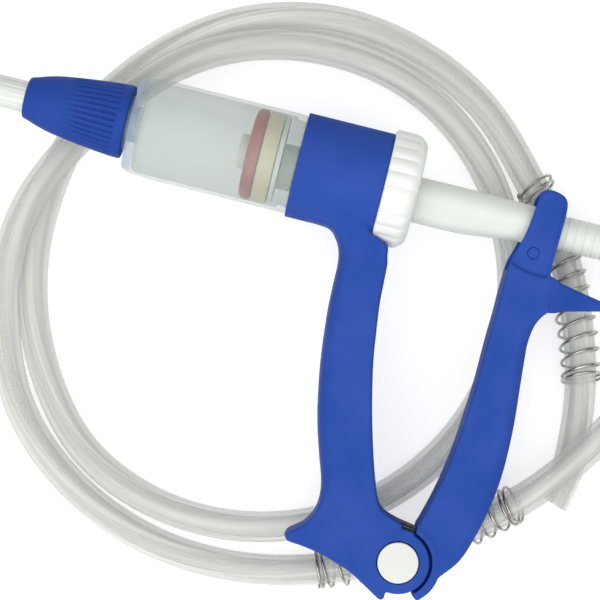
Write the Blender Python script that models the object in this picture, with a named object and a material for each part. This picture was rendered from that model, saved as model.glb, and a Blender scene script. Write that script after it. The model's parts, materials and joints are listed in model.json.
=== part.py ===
"""Pour-on applicator: a pistol-grip dosing gun with a squeeze lever, lying on its draw-off hose.

Frame: X along the barrel towards the rear, Y from the pivot towards the barrel, Z up.
The origin is the centre of the pivot cap's top face. Lengths are typed in millimetres.
"""

import math

import bmesh
import bpy
from mathutils import Matrix, Vector

MM = 0.001
TILT = math.radians(3.0)  # the nozzle end lies higher than the grips
AXIS = 135.2  # barrel axis above the pivot
CAP_TOP = 12.6  # pivot cap's top face above the gun's middle plane
REST = 29.8  # the gun's middle plane above the floor, at the pivot

# The outlines are given on a 600-unit side view; these turn it into millimetres.
UNIT = 0.375
PIVOT_U = (397.6, 562.0)
TURN = math.radians(14.0)


def g(u, v):
    """A point of the side view, in the gun's own X and Y."""
    dx, dy = u - PIVOT_U[0], PIVOT_U[1] - v
    c, s = math.cos(TURN), math.sin(TURN)
    return ((dx * c - dy * s) * UNIT, (dx * s + dy * c) * UNIT)


# ---------------------------------------------------------------- helpers


def clear():
    for obj in list(bpy.data.objects):
        bpy.data.objects.remove(obj, do_unlink=True)


def mesh_object(name, verts, faces):
    mesh = bpy.data.meshes.new(name)
    mesh.from_pydata([tuple(c * MM for c in v) for v in verts], [], faces)
    bm = bmesh.new()
    bm.from_mesh(mesh)
    bmesh.ops.recalc_face_normals(bm, faces=bm.faces)
    if bm.calc_volume(signed=True) < 0:
        bmesh.ops.reverse_faces(bm, faces=bm.faces)
    bm.to_mesh(mesh)
    bm.free()
    obj = bpy.data.objects.new(name, mesh)
    bpy.context.scene.collection.objects.link(obj)
    return obj


def rings_object(name, rings, closed=False):
    """Skins a row of loops of equal length; closed joins the last loop to the first."""
    n = len(rings[0])
    verts = [p for ring in rings for p in ring]
    faces = []
    count = len(rings)
    for i in range(count if closed else count - 1):
        a, b = i * n, ((i + 1) % count) * n
        for k in range(n):
            m = (k + 1) % n
            faces.append((a + k, a + m, b + m, b + k))
    if not closed:
        faces.append(tuple(range(n)))
        faces.append(tuple(range((count - 1) * n, count * n)))
    return mesh_object(name, verts, faces)


def ring_x(x, radius, n=32, y=AXIS, z=0.0):
    """A circle about a line along X; radius may be a number or a function of the angle."""
    out = []
    for k in range(n):
        t = 2 * math.pi * k / n
        r = radius(t) if callable(radius) else radius
        out.append((x, y + r * math.cos(t), z + r * math.sin(t)))
    return out


def lathe(name, profile, n=32):
    """Turns a closed profile of (x, r) about the barrel axis; every r is above zero."""
    return rings_object(name, [ring_x(x, r, n) for x, r in profile], closed=True)


def turned(name, profile, n=32):
    """Turns an open profile, which ends in flat faces, about the barrel axis."""
    return rings_object(name, [ring_x(x, r, n) for x, r in profile])


def ring_z(z, radius, n=32, x=0.0, y=0.0):
    return [
        (x + radius * math.cos(2 * math.pi * k / n), y + radius * math.sin(2 * math.pi * k / n), z)
        for k in range(n)
    ]


def post(name, profile, n=32, x=0.0, y=0.0):
    """A turned piece about a line along Z through x, y; profile of (z, r)."""
    return rings_object(name, [ring_z(z, r, n, x, y) for z, r in profile])


def post_ring(name, profile, n=32, x=0.0, y=0.0):
    return rings_object(name, [ring_z(z, r, n, x, y) for z, r in profile], closed=True)


def spline(points, steps, closed=True):
    """Catmull-Rom curve through points; each may be followed by more values."""
    pts = [Vector(p) for p in points]
    n = len(pts)
    out = []
    for i in range(n if closed else n - 1):
        if closed:
            p0, p1, p2, p3 = pts[i - 1], pts[i], pts[(i + 1) % n], pts[(i + 2) % n]
        else:
            p0, p1, p2, p3 = pts[max(i - 1, 0)], pts[i], pts[i + 1], pts[min(i + 2, n - 1)]
        for k in range(steps):
            t = k / steps
            out.append(
                0.5
                * (
                    2 * p1
                    + (p2 - p0) * t
                    + (2 * p0 - 5 * p1 + 4 * p2 - p3) * t * t
                    + (3 * p1 - p0 - 3 * p2 + p3) * t * t * t
                )
            )
    if not closed:
        out.append(pts[-1].copy())
    return out


def inward(outline):
    """Unit inward normals of a closed outline."""
    n = len(outline)
    area = sum(
        outline[i].x * outline[(i + 1) % n].y - outline[(i + 1) % n].x * outline[i].y
        for i in range(n)
    )
    sign = 1.0 if area > 0 else -1.0
    out = []
    for i in range(n):
        d = (outline[(i + 1) % n] - outline[i - 1]).normalized()
        out.append(Vector((-d.y, d.x)) * sign)
    return out


def rounded_prism(name, outline, half, edge, layers=2, draft=0.0, drop=None):
    """The outline at both sides of z = 0: walls with draft, rims rounded, less at narrow tips.

    edge is the rounding's width, a number or one per point of the outline.
    """
    normals = inward(outline)
    n = len(outline)
    widths = list(edge) if hasattr(edge, "__len__") else [edge] * n
    room = []
    for i in range(n):
        least = 99.0
        for j in range(n):
            d = outline[j] - outline[i]
            up = d.dot(normals[i])
            if up > 1e-6:
                least = min(least, d.length_squared / (2 * up))
        room.append(least)
    inset = [min(w, 0.55 * r) for w, r in zip(widths, room)]
    for _ in range(4):
        inset = [
            min(inset[i], 0.25 * inset[i - 1] + 0.5 * inset[i] + 0.25 * inset[(i + 1) % n])
            for i in range(n)
        ]
    lean = [min(draft, 0.2 * r) for r in room]
    depth = [min(w if drop is None else drop, 0.75 * half) for w in widths]
    rings = []
    for k in range(layers + 1):
        a = math.pi / 2 * k / layers
        rings.append((1 - math.sin(a), 1 - math.cos(a)))
    loops = [
        [
            (
                p.x + m.x * (lo + d * share),
                p.y + m.y * (lo + d * share),
                -(half - e * down),
            )
            for p, m, d, lo, e in zip(outline, normals, inset, lean, depth)
        ]
        for share, down in rings
    ]
    middle = [[(p.x, p.y, 0.0) for p in outline]] if draft else []
    return rings_object(name, loops + middle + [[(x, y, -z) for x, y, z in loop] for loop in reversed(loops)])


def block(name, lo, hi):
    x0, y0, z0 = lo
    x1, y1, z1 = hi
    loop = [(x0, y0), (x1, y0), (x1, y1), (x0, y1)]
    return rings_object(name, [[(x, y, z0) for x, y in loop], [(x, y, z1) for x, y in loop]])


def bar(name, start, direction, t0, t1, half, z0, z1):
    """A flat bar in the XY plane along a direction, with its own half width."""
    dx, dy = direction
    px, py = -dy * half, dx * half
    loop = [
        (start[0] + dx * t0 + px, start[1] + dy * t0 + py),
        (start[0] + dx * t0 - px, start[1] + dy * t0 - py),
        (start[0] + dx * t1 - px, start[1] + dy * t1 - py),
        (start[0] + dx * t1 + px, start[1] + dy * t1 + py),
    ]
    return rings_object(name, [[(x, y, z0) for x, y in loop], [(x, y, z1) for x, y in loop]])


def cut(obj, tool, how="DIFFERENCE"):
    mod = obj.modifiers.new(tool.name, "BOOLEAN")
    mod.operation = how
    mod.solver = "EXACT"
    mod.object = tool
    tool.hide_render = True
    tool.display_type = "WIRE"


def frames(path):
    """Turning-free frames along a path of points."""
    out = []
    normal = None
    for i, p in enumerate(path):
        a = path[max(i - 1, 0)]
        b = path[min(i + 1, len(path) - 1)]
        t = (b - a).normalized()
        if normal is None:
            normal = t.cross(Vector((0, 0, 1)))
            if normal.length < 1e-3:
                normal = t.cross(Vector((0, 1, 0)))
        normal = (normal - t * normal.dot(t)).normalized()
        out.append((p, normal, t.cross(normal)))
    return out


def section(frame, radius, n):
    p, a, b = frame
    return [
        tuple(p + (a * math.cos(2 * math.pi * k / n) + b * math.sin(2 * math.pi * k / n)) * radius)
        for k in range(n)
    ]


def wire(name, path, radius, n=6):
    return rings_object(name, [section(f, radius, n) for f in frames(path)])


def pipe(name, fr, outer, inner, n=10):
    rings = [section(f, outer, n) for f in fr] + [section(f, inner, n) for f in reversed(fr)]
    return rings_object(name, rings, closed=True)


def coil_on(name, fr, mean, thick, pitch, n=10, sides=4):
    """A spring's wire round the hose, along some of its frames; the last turn at each end is close."""
    run = [0.0]
    for a, b in zip(fr, fr[1:]):
        run.append(run[-1] + (b[0] - a[0]).length)
    at, angle, path, j = thick, 0.0, [], 0
    while at <= run[-1] - thick:
        while j < len(run) - 2 and run[j + 1] < at:
            j += 1
        f = (at - run[j]) / (run[j + 1] - run[j])
        p, a, b = (u.lerp(v, f) for u, v in zip(fr[j], fr[j + 1]))
        path.append(p + (a.normalized() * math.cos(angle) + b.normalized() * math.sin(angle)) * mean)
        near = min(at - thick, run[-1] - thick - at) / (pitch * 0.5)
        angle += 2 * math.pi / n
        at += (pitch if near > 1 else 1.5 * thick) / n
    return wire(name, path, thick / 2, sides)


def coil_x(name, x0, x1, mean, thick, turns, n=10, sides=4):
    """A compression spring about the barrel axis between x0 and x1, its ends wound close."""
    total = int(turns * n)
    path = []
    for k in range(total + 1):
        a = 2 * math.pi * k / n
        f = k / total
        ease = min(max((f * turns - 0.75) / (turns - 1.5), 0.0), 1.0)
        x = x0 + thick / 2 + (x1 - x0 - thick) * ease
        if f * turns < 0.75:
            x = x0 + thick / 2 + 0.02
        path.append(Vector((x, AXIS + mean * math.cos(a), mean * math.sin(a))))
    # a little pitch in the end turns keeps each turn clear of the next
    for k, p in enumerate(path):
        f = k / total
        p.x = x0 + thick / 2 + (x1 - x0 - thick) * f
    return wire(name, path, thick / 2, sides)


def egg(top, low_r, low, y=AXIS):
    """Radius by angle for a round bar of radius `top` with a keel of radius low_r down to `low`."""
    drop = low - low_r

    def radius(t):
        # angle 0 points up, along +Y
        ux, uy = math.sin(t), math.cos(t)
        best = 0.0
        for k in range(41):
            f = k / 40
            cy, r = -drop * f, top + (low_r - top) * f
            b = uy * cy
            disc = b * b - (cy * cy - r * r)
            if disc > 0:
                best = max(best, b + math.sqrt(disc))
        return best

    return radius


# ---------------------------------------------------------------- outlines

HANDLE = [
    (-66.5, 119.9),
    (-63.6, 115.7),
    g(329, 230),
    g(336, 240),
    g(339, 252),
    g(338, 266),
    g(333, 288),
    g(328, 312),
    g(323, 345),
    g(320, 372),
    g(318, 405),
    g(318, 430),
    g(319.5, 455),
    g(321.5, 480),
    g(320, 497),
    g(314.5, 511),
    g(303.5, 523),
    g(289, 530),
    g(284.8, 535.5),
    g(288, 541.5),
    g(301, 546.2),
    g(318, 553.4),
    g(334, 562.4),
    g(349, 572.3),
    g(362, 584.2),
    g(372.5, 594.5),
    g(379, 599.5),
    g(384, 598),
    g(387, 592),
    (1.5, -8.5),
    (3.5, -3.0),
    (3.5, 4.0),
    (0.6, 9.6),
    (-1.1, 12.6),
    (-1.4, 13.9),
    (-2.9, 15.2),
    g(389, 514.2),
    g(383, 508.8),
    g(379.8, 503),
    g(377.4, 492),
    g(375, 468),
    g(373.3, 432),
    g(373.1, 397),
    g(374.3, 362),
    g(377, 335),
    g(380.5, 306),
    g(384.3, 286),
    g(388.2, 266),
    (-31.0, 109.9),
    (-31.8, 113.7),
    (-35.5, 115.8),
    (-39.5, 117.8),
    (-43.0, 119.9),
    (-48.0, 121.9),
    (-58.0, 121.9),
]

LEVER = [
    g(552, 191.2),
    g(545, 191.8),
    g(538.6, 197.5),
    g(533.8, 209),
    g(525.5, 231),
    g(516.8, 248),
    g(508.2, 263),
    g(500.3, 289),
    g(494, 313),
    g(486, 341),
    g(475.5, 381),
    g(465.5, 413),
    g(452.6, 451),
    g(440, 481),
    g(429, 503),
    g(421.8, 515.8),
    (3.4, 13.6),
    (4.2, 8.5),
    (6.0, 3.0),
    (6.5, -2.0),
    (6.9, -7.0),
    g(411, 592.5),
    g(413, 598.2),
    g(416.5, 600.5),
    g(421, 599),
    g(428.5, 593.5),
    g(435.5, 587),
    g(443, 580),
    g(461, 560.5),
    g(479, 533.5),
    g(493.3, 504),
    g(503.3, 476),
    g(511, 446),
    g(516.4, 419),
    g(520.8, 391),
    g(525.6, 361),
    g(529, 343.5),
    g(534.3, 329),
    g(541, 320),
    g(548, 313.5),
    g(550.5, 301),
    g(550.5, 287),
    g(551, 275),
    g(555.3, 257),
    g(562, 233),
    g(566.6, 216),
    g(567.6, 204),
    g(563, 196.5),
]

TAIL = [
    (24.0, 114.0),
    g(549, 278),
    g(560, 284.5),
    g(574, 291),
    g(600, 302),
    g(614, 307.8),
    g(617, 310.5),
    g(612, 312.9),
    g(596, 313),
    g(565, 313),
    g(550, 314.5),
    (25.0, 104.5),
]

# Hose centreline: side view units, then the centre's height above the floor in mm.
HOSE = [
    (559.5, 507.5, 6.0),
    (566.5, 481, 6.0),
    (574.5, 447, 6.0),
    (581, 415, 6.8),
    (582.8, 385, 7.7),
    (583, 355, 7.8),
    (579, 320, 7.8),
    (573.5, 290, 7.8),
    (567.5, 260, 7.8),
    (557, 232, 7.8),
    (545, 208, 7.8),
    (530.5, 183.5, 7.6),
    (512, 152, 6.6),
    (497.5, 128.5, 6.1),
    (468, 92.5, 6.0),
    (432, 62, 6.0),
    (396, 40, 6.0),
    (348.5, 22.5, 6.0),
    (299, 16, 6.0),
    (240, 21, 6.0),
    (200, 34, 6.0),
    (160, 54, 6.0),
    (128, 77, 6.0),
    (97, 105, 6.0),
    (71, 137.5, 6.0),
    (51.5, 183, 6.0),
    (36, 228, 6.0),
    (30, 272, 6.0),
    (30, 310, 6.0),
    (38, 352, 6.0),
    (52, 398, 6.0),
    (79, 450, 6.0),
    (106, 475, 6.0),
    (136, 496.5, 6.0),
    (183, 518, 6.0),
    (237, 529.5, 6.0),
    (280, 529.5, 6.0),
    (315.5, 525.5, 6.0),
    (351, 515, 6.0),
    (386, 499.5, 6.0),
    (422, 475, 6.0),
    (449, 450.5, 6.0),
    (474, 418, 6.0),
    (493.5, 383.5, 6.0),
    (508, 342, 6.0),
    (515.5, 301, 6.0),
    (515.5, 272, 6.0),
    (510.5, 236, 6.0),
    (501, 203, 6.0),
    (492.5, 174.5, 6.0),
    (476.5, 143, 6.4),
    (450.5, 110.5, 7.4),
    (404, 78, 9.0),
    (343, 52.5, 10.6),
    (275, 43, 12.8),
    (214.5, 50.5, 14.9),
    (168.5, 68.5, 16.0),
    (137, 89, 16.9),
    (105, 114, 17.8),
    (74, 142.5, 18.4),
    (53, 166.5, 18.3),
    (34.5, 191, 17.4),
    (15.5, 228.5, 15.6),
    (6.5, 270, 14.0),
    (3, 310, 12.8),
    (5.5, 355, 11.6),
    (13, 397.5, 10.8),
    (30.8, 435, 10.3),
    (48, 459.5, 9.8),
    (80.3, 496.5, 8.0),
    (120, 526.5, 6.4),
    (159, 548, 6.0),
    (203, 562.8, 6.0),
    (243, 571, 6.1),
    (288, 573.5, 7.0),
    (314, 572.5, 7.6),
    (360, 566.5, 7.8),
    (400, 557, 7.8),
    (440, 543, 7.8),
    (471, 529, 8.2),
    (500.5, 514, 10.8),
    (521.5, 504, 13.8),
    (551.5, 484.5, 17.5),
    (577, 463.5, 19.0),
    (602, 439.5, 18.8),
    (630, 411.5, 17.6),
]
SPRING_A = ((529, 181), (583.5, 382))
SPRING_B = ((310.5, 572.5), (519, 505))
EYE = (*g(300, 300), 1000.0)  # the eye of the side view, in the gun's own frame


def floor_point(u, v, height):
    """The point at a height above the floor that the side view shows at u, v."""
    x, y = g(u, v)
    c, s = math.cos(TILT), math.sin(TILT)

    def lift(px, pz):  # own frame to the row's frame, about the cap's top
        return px * c + (pz - CAP_TOP) * s, -px * s + (pz - CAP_TOP) * c

    ex, ez = lift(EYE[0], EYE[2])
    mx, mz = lift(x, 0.0)
    want = -CAP_TOP * c - REST + height
    t = (want - ez) / (mz - ez)
    return Vector((ex + (mx - ex) * t, EYE[1] + (y - EYE[1]) * t, want))


def evenly(points, gap, marks=()):
    """Points at an even spacing along a line, and the index of each mark, given as a distance."""
    run = [0.0]
    for a, b in zip(points, points[1:]):
        run.append(run[-1] + (b - a).length)
    stops = [0.0, *marks, run[-1]]
    out, ends = [], []
    j = 0
    for a, b in zip(stops, stops[1:]):
        ends.append(len(out))
        count = max(round((b - a) / gap), 1)
        for k in range(count + (b == stops[-1])):
            want = a + (b - a) * k / count
            while j < len(run) - 2 and run[j + 1] < want:
                j += 1
            f = (want - run[j]) / (run[j + 1] - run[j])
            out.append(points[j].lerp(points[j + 1], min(max(f, 0.0), 1.0)))
    return out, ends[1:]


def settle(points, low, clear=12.3, rounds=70):
    """Moves the turns of a hose apart where they would lie in each other, and smooths it."""
    n = len(points)
    ends = (points[0].copy(), points[-1].copy())
    for turn in range(rounds):
        for i in range(n):
            for j in range(i + 12, n):
                d = points[i] - points[j]
                if abs(d.x) < clear and abs(d.y) < clear:
                    gap = d.length
                    if 0.01 < gap < clear:
                        push = d * ((clear - gap) / gap * 0.5)
                        points[i] += push
                        points[j] -= push
        if turn < rounds - 6:
            old = [p.copy() for p in points]
            for i in range(1, n - 1):
                points[i] += ((old[i - 1] + old[i + 1]) / 2 - old[i]) * 0.12
            points[0], points[-1] = ends[0].copy(), ends[1].copy()
        for p in points:
            p.z = max(p.z, low)
    return points


def hose_path(gap):
    """The hose's centreline from its visible end on, and where the two springs lie on it."""
    low = -CAP_TOP * math.cos(TILT) - REST + 6.0
    fine = spline([floor_point(u, v, h) for u, v, h in HOSE], 8, closed=False)
    even = settle(evenly(fine, 4.0)[0], low)
    run = [0.0]
    for a, b in zip(even, even[1:]):
        run.append(run[-1] + (b - a).length)
    marks = []
    for u, v in SPRING_A + SPRING_B:
        q = floor_point(u, v, 7.8)
        near = min(range(len(even)), key=lambda i: (even[i].x - q.x) ** 2 + (even[i].y - q.y) ** 2)
        marks.append(run[near])
    marks.sort()
    out, ends = evenly(even, gap, marks)
    return out, slice(ends[0], ends[1] + 1), slice(ends[2], ends[3] + 1)


# ---------------------------------------------------------------- pieces


def grip_edge(p, outline):
    """Rounding of the handle's rim: wide in front of the grip, narrow behind it and round the pivot."""
    front = -49.5 + 0.12 * (108.0 - p.y)
    share = min(max((p.y - 12.0) / 14.0, 0.0), 1.0) * min(max((119.0 - p.y) / 8.0, 0.0), 1.0)
    wide = share * min(max((front + 13.0 - p.x) / 6.0, 0.0), 1.0)
    return 1.0 + 5.5 * wide


def lever_edge(p):
    """Rounding of the lever's rim: wide at the back, narrow in front and about the fork."""
    back = min(max((p.x - 18.0) / 6.0, 0.0), 1.0)
    share = min(max((p.y - 2.0) / 12.0, 0.0), 1.0) * min(max((104.0 - p.y) / 14.0, 0.0), 1.0)
    return 1.0 + 4.0 * back * share


def handle_frame():
    outline = [Vector(p) for p in to2(spline(HANDLE, 2))]
    # the front of the grip is full and round, the side that faces the lever is crisp
    edge = [grip_edge(p, outline) for p in outline]
    obj = rounded_prism("handle_frame", outline, 12.0, edge, 3, 0.5)
    collar = turned("cut_collar", [(-72.4, 19.6), (-71.9, 20.05), (-39.7, 20.05), (-39.3, 19.7)], 32)
    cut(obj, collar, "UNION")
    ears = post("cut_ears", [(-12.0, 11.4), (-11.7, 11.7), (11.7, 11.7), (12.0, 11.4)], 32)
    cut(obj, ears, "UNION")
    cut(obj, turned("cut_collar_bore", [(-80, 18.5), (-39.0, 18.5), (-39.0, 22.25), (-20, 22.25)], 32))
    cut(obj, post("cut_knuckle", [(-6.5, 12.0), (6.5, 12.0)], 32))
    cut(obj, post("cut_pin_bore", [(-20, 4.3), (20, 4.3)], 32))
    cut(obj, post("cut_cap_seat", [(9.4, 8.0), (20, 8.0)], 24))
    cut(obj, post("cut_head_seat", [(-20, 8.0), (-9.4, 8.0)], 24))
    cut(obj, bar("cut_leg_groove", LEG_FROM, LEG_WAY, -2.0, 11.0, 1.1, 1.25, 3.55))
    return obj


def to2(points):
    return [(p[0], p[1]) for p in points]


def thin_out(obj):
    """Thins the spur towards its tip."""
    for v in obj.data.vertices:
        x = v.co.x / MM
        v.co.z *= 1.0 - 0.6 * min(max((x - 27.0) / 24.0, 0.0), 1.0)


def trigger_lever():
    outline = [Vector(p) for p in to2(spline(LEVER, 2))]
    obj = rounded_prism("trigger_lever", outline, 11.5, [lever_edge(p) for p in outline], 3, 0.5)
    boss = post("cut_boss", [(-12.0, 15.7), (-11.6, 16.1), (11.6, 16.1), (12.0, 15.7)], 32)
    # the boss is kept to the lever's side of the knuckle
    cut(boss, block("cut_boss_left", (-40, -40, -20), (3.9, 40, 20)))
    cut(boss, block("cut_boss_below", (-40, -40, -20), (40, -8.5, 20)))
    cut(obj, boss, "UNION")
    tail = rounded_prism("cut_tail", [Vector(p) for p in to2(spline(TAIL, 2))], 10.6, 1.6, 2)
    thin_out(tail)
    cut(obj, tail, "UNION")
    cut(obj, post("cut_ear_room_up", [(6.2, 12.8), (20, 12.8)], 32))
    cut(obj, post("cut_ear_room_low", [(-20, 12.8), (-6.2, 12.8)], 32))
    for side, (z0, z1) in (("up", (3.6, 6.2)), ("low", (-6.2, -3.6))):
        cut(obj, post("cut_cheek_" + side, [(z0, 11.2), (z1, 11.2)], 32), "UNION")
    cut(obj, post("cut_coil_room", [(-3.6, 12.8), (3.6, 12.8)], 32))
    cut(obj, post("cut_bush_bore", [(-20, 5.9), (20, 5.9)], 24))
    cut(obj, block("cut_fork", (5, 116.0, -8.9), (40, 145.5, 8.9)))
    cut(obj, block("cut_ear_up", (5, 116.6, 10.2), (28.4, 160, 14)))
    cut(obj, block("cut_ear_low", (5, 116.6, -14), (28.4, 160, -10.2)))
    cut(obj, block("cut_leg_room", (-5, 8.0, 1.2), (10.4, 17.4, 3.6)))
    cut(obj, post("cut_pin_hole", [(-20, 2.3), (20, 2.3)], 24, *PIN))
    a = math.radians(120)
    cut(obj, bar("cut_leg_slot", (7.5 * math.cos(a), 7.5 * math.sin(a)), (math.sin(a), -math.cos(a)), 6.0, 21.0, 1.15, -3.55, -1.25))
    return obj


PIN = (21.15, 124.0)
LEG_FROM = (3.9, 13.55)  # where the return spring's leg lies against the handle
LEG_WAY = (-0.983, 0.184)


def barrel():
    return lathe(
        "barrel",
        [
            (-150.0, 10.1),
            (-149.4, 10.5),
            (-136.2, 10.5),
            (-136.2, 16.8),
            (-135.0, 17.6),
            (-132.6, 18.2),
            (-130.0, 18.55),
            (-126.0, 18.85),
            (-122.0, 18.95),
            (-72.8, 18.95),
            (-72.8, 18.2),
            (-41.0, 18.2),
            (-41.0, 16.5),
            (-75.6, 16.5),
            (-76.6, 17.6),
            (-131.0, 17.6),
            (-132.5, 16.4),
            (-132.5, 7.0),
            (-150.0, 7.0),
        ],
        32,
    )


def nose_nut():
    flutes = 36
    n = 2 * flutes

    def fluted(r, depth):
        return lambda t: r - (depth if round(t * n / (2 * math.pi)) % 2 else 0.0)

    stations = [
        (-177.5, 6.2, 0.0),
        (-177.2, 7.6, 0.0),
        (-171.0, 9.6, 0.0),
        (-162.0, 11.5, 0.3),
        (-157.5, 12.15, 0.45),
        (-149.0, 13.2, 0.5),
        (-142.3, 13.85, 0.5),
        (-141.2, 14.0, 0.0),
        (-137.8, 13.6, 0.0),
    ]
    rings = [ring_x(x, fluted(r, d), n) for x, r, d in stations]
    rings += [ring_x(x, r, n) for x, r in [(-137.8, 10.9), (-154.6, 10.9), (-154.6, 6.5), (-176.9, 6.5)]]
    rings[0] = ring_x(-177.5, 6.9, n)
    return rings_object("nose_nut", rings, closed=True)


def nozzle_tube():
    return lathe(
        "nozzle_tube",
        [
            (-151.8, 9.5),
            (-151.8, 2.8),
            (-228.0, 2.8),
            (-228.0, 4.0),
            (-227.4, 4.6),
            (-212.0, 5.1),
            (-196.0, 5.75),
            (-180.0, 6.1),
            (-154.0, 6.1),
            (-154.0, 9.5),
        ],
        24,
    )


def rear_cap_nut():
    scallops = 24
    n = 2 * scallops

    def scalloped(r, depth):
        return lambda t: r - depth * (0.5 - 0.5 * math.cos(scallops * t)) ** 2

    hole = egg(7.05, 5.6, 11.05)
    rings = [ring_x(x, scalloped(r, d), n) for x, r, d in [
        (-39.0, 21.2, 0.5),
        (-38.5, 21.9, 1.0),
        (-31.0, 21.9, 1.0),
        (-28.8, 21.2, 0.9),
        (-27.2, 19.9, 0.4),
        (-26.1, 18.0, 0.0),
    ]]
    rings += [ring_x(-26.1, hole, n), ring_x(-31.4, hole, n), ring_x(-31.4, 15.8, n), ring_x(-39.0, 15.8, n)]
    return rings_object("rear_cap_nut", rings, closed=True)


def rod_rings():
    n = 20
    rings = []
    for x, top, low_r, low in [
        (-78.1, 6.6, 5.0, 10.55),
        (-77.8, 6.75, 5.0, 10.7),
        (-13.5, 6.75, 5.0, 10.7),
        (4.5, 6.7, 5.0, 9.2),
        (12.0, 6.5, 5.6, 8.3),
        (14.1, 6.5, 6.0, 7.6),
    ]:
        rings.append(ring_x(x, egg(top, low_r, low), n))
    rings += [ring_x(14.1, 5.6, n), ring_x(28.0, 5.6, n)]
    x = 28.0
    rings.append(ring_x(x, 6.45, n, AXIS - 0.9))
    while x < 57.0:
        x += 2.1
        rings.append(ring_x(x, 6.45, n, AXIS - 0.9))
        rings.append(ring_x(x + 0.35, 6.05, n, AXIS - 0.9))
        rings.append(ring_x(x + 0.7, 6.45, n, AXIS - 0.9))
        x += 0.7
    rings.append(ring_x(60.0, 6.3, n, AXIS - 0.9))
    return rings, n


def piston_rod():
    rings, n = rod_rings()
    rings += [ring_x(60.0, 4.4, n), ring_x(44.0, 4.4, n), ring_x(44.0, 3.2, n), ring_x(-78.1, 3.2, n)]
    return rings_object("piston_rod", rings, closed=True)


def rod_yoke():
    obj = turned("rod_yoke", [(14.6, 8.0), (14.9, 8.3), (27.2, 8.3), (27.5, 8.0)], 24)
    lug = []
    for k in range(13):
        a = math.pi + math.pi * k / 12
        lug.append(Vector((PIN[0] + 5.6 * math.cos(a), PIN[1] + 0.4 + 5.4 * math.sin(a))))
    lug += [Vector((27.2, 130.4)), Vector((27.2, 135.2)), Vector((14.9, 135.2)), Vector((14.9, 130.4))]
    cut(obj, rounded_prism("cut_lug", lug, 8.3, 0.8, 2), "UNION")
    cut(obj, turned("cut_rod_hole", [(0, 5.9), (40, 5.9)], 24))
    slot = []
    for k in range(9):
        a = math.pi + math.pi * k / 8
        slot.append((PIN[0] + 2.45 * math.cos(a), PIN[1] + 2.45 * math.sin(a)))
    for k in range(9):
        a = math.pi * k / 8
        slot.append((PIN[0] + 2.45 * math.cos(a), PIN[1] + 2.0 + 2.45 * math.sin(a)))
    cut(obj, rings_object("cut_pin_slot", [[(x, y, -20) for x, y in slot], [(x, y, 20) for x, y in slot]]))
    return obj


# the return spring's end: out of the coil, then along the handle
LEG = [(7.9, -1.5), (8.85, 1.6), (8.9, 4.9), (7.9, 7.7), (6.4, 10.0), (5.45, 11.8), (4.0, 13.3), (2.0, 13.95), (-1.5, 14.55), (-6.5, 15.5)]


def return_spring():
    mean, thick = 7.5, 1.5
    a0, a1 = math.radians(120), math.radians(1050)
    path = []
    lead = Vector((math.sin(a0), -math.cos(a0), 0.0))
    start = Vector((mean * math.cos(a0), mean * math.sin(a0), -2.4))
    for t in (20.0, 14.0, 8.0, 3.0):
        path.append(start + lead * t)
    steps = 36
    for k in range(steps + 1):
        a = a0 + (a1 - a0) * k / steps
        path.append(Vector((mean * math.cos(a), mean * math.sin(a), -2.4 + 4.8 * k / steps)))
    for x, y in LEG:
        path.append(Vector((x, y, 2.4)))
    return wire("return_spring", path, thick / 2, 6)


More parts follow.
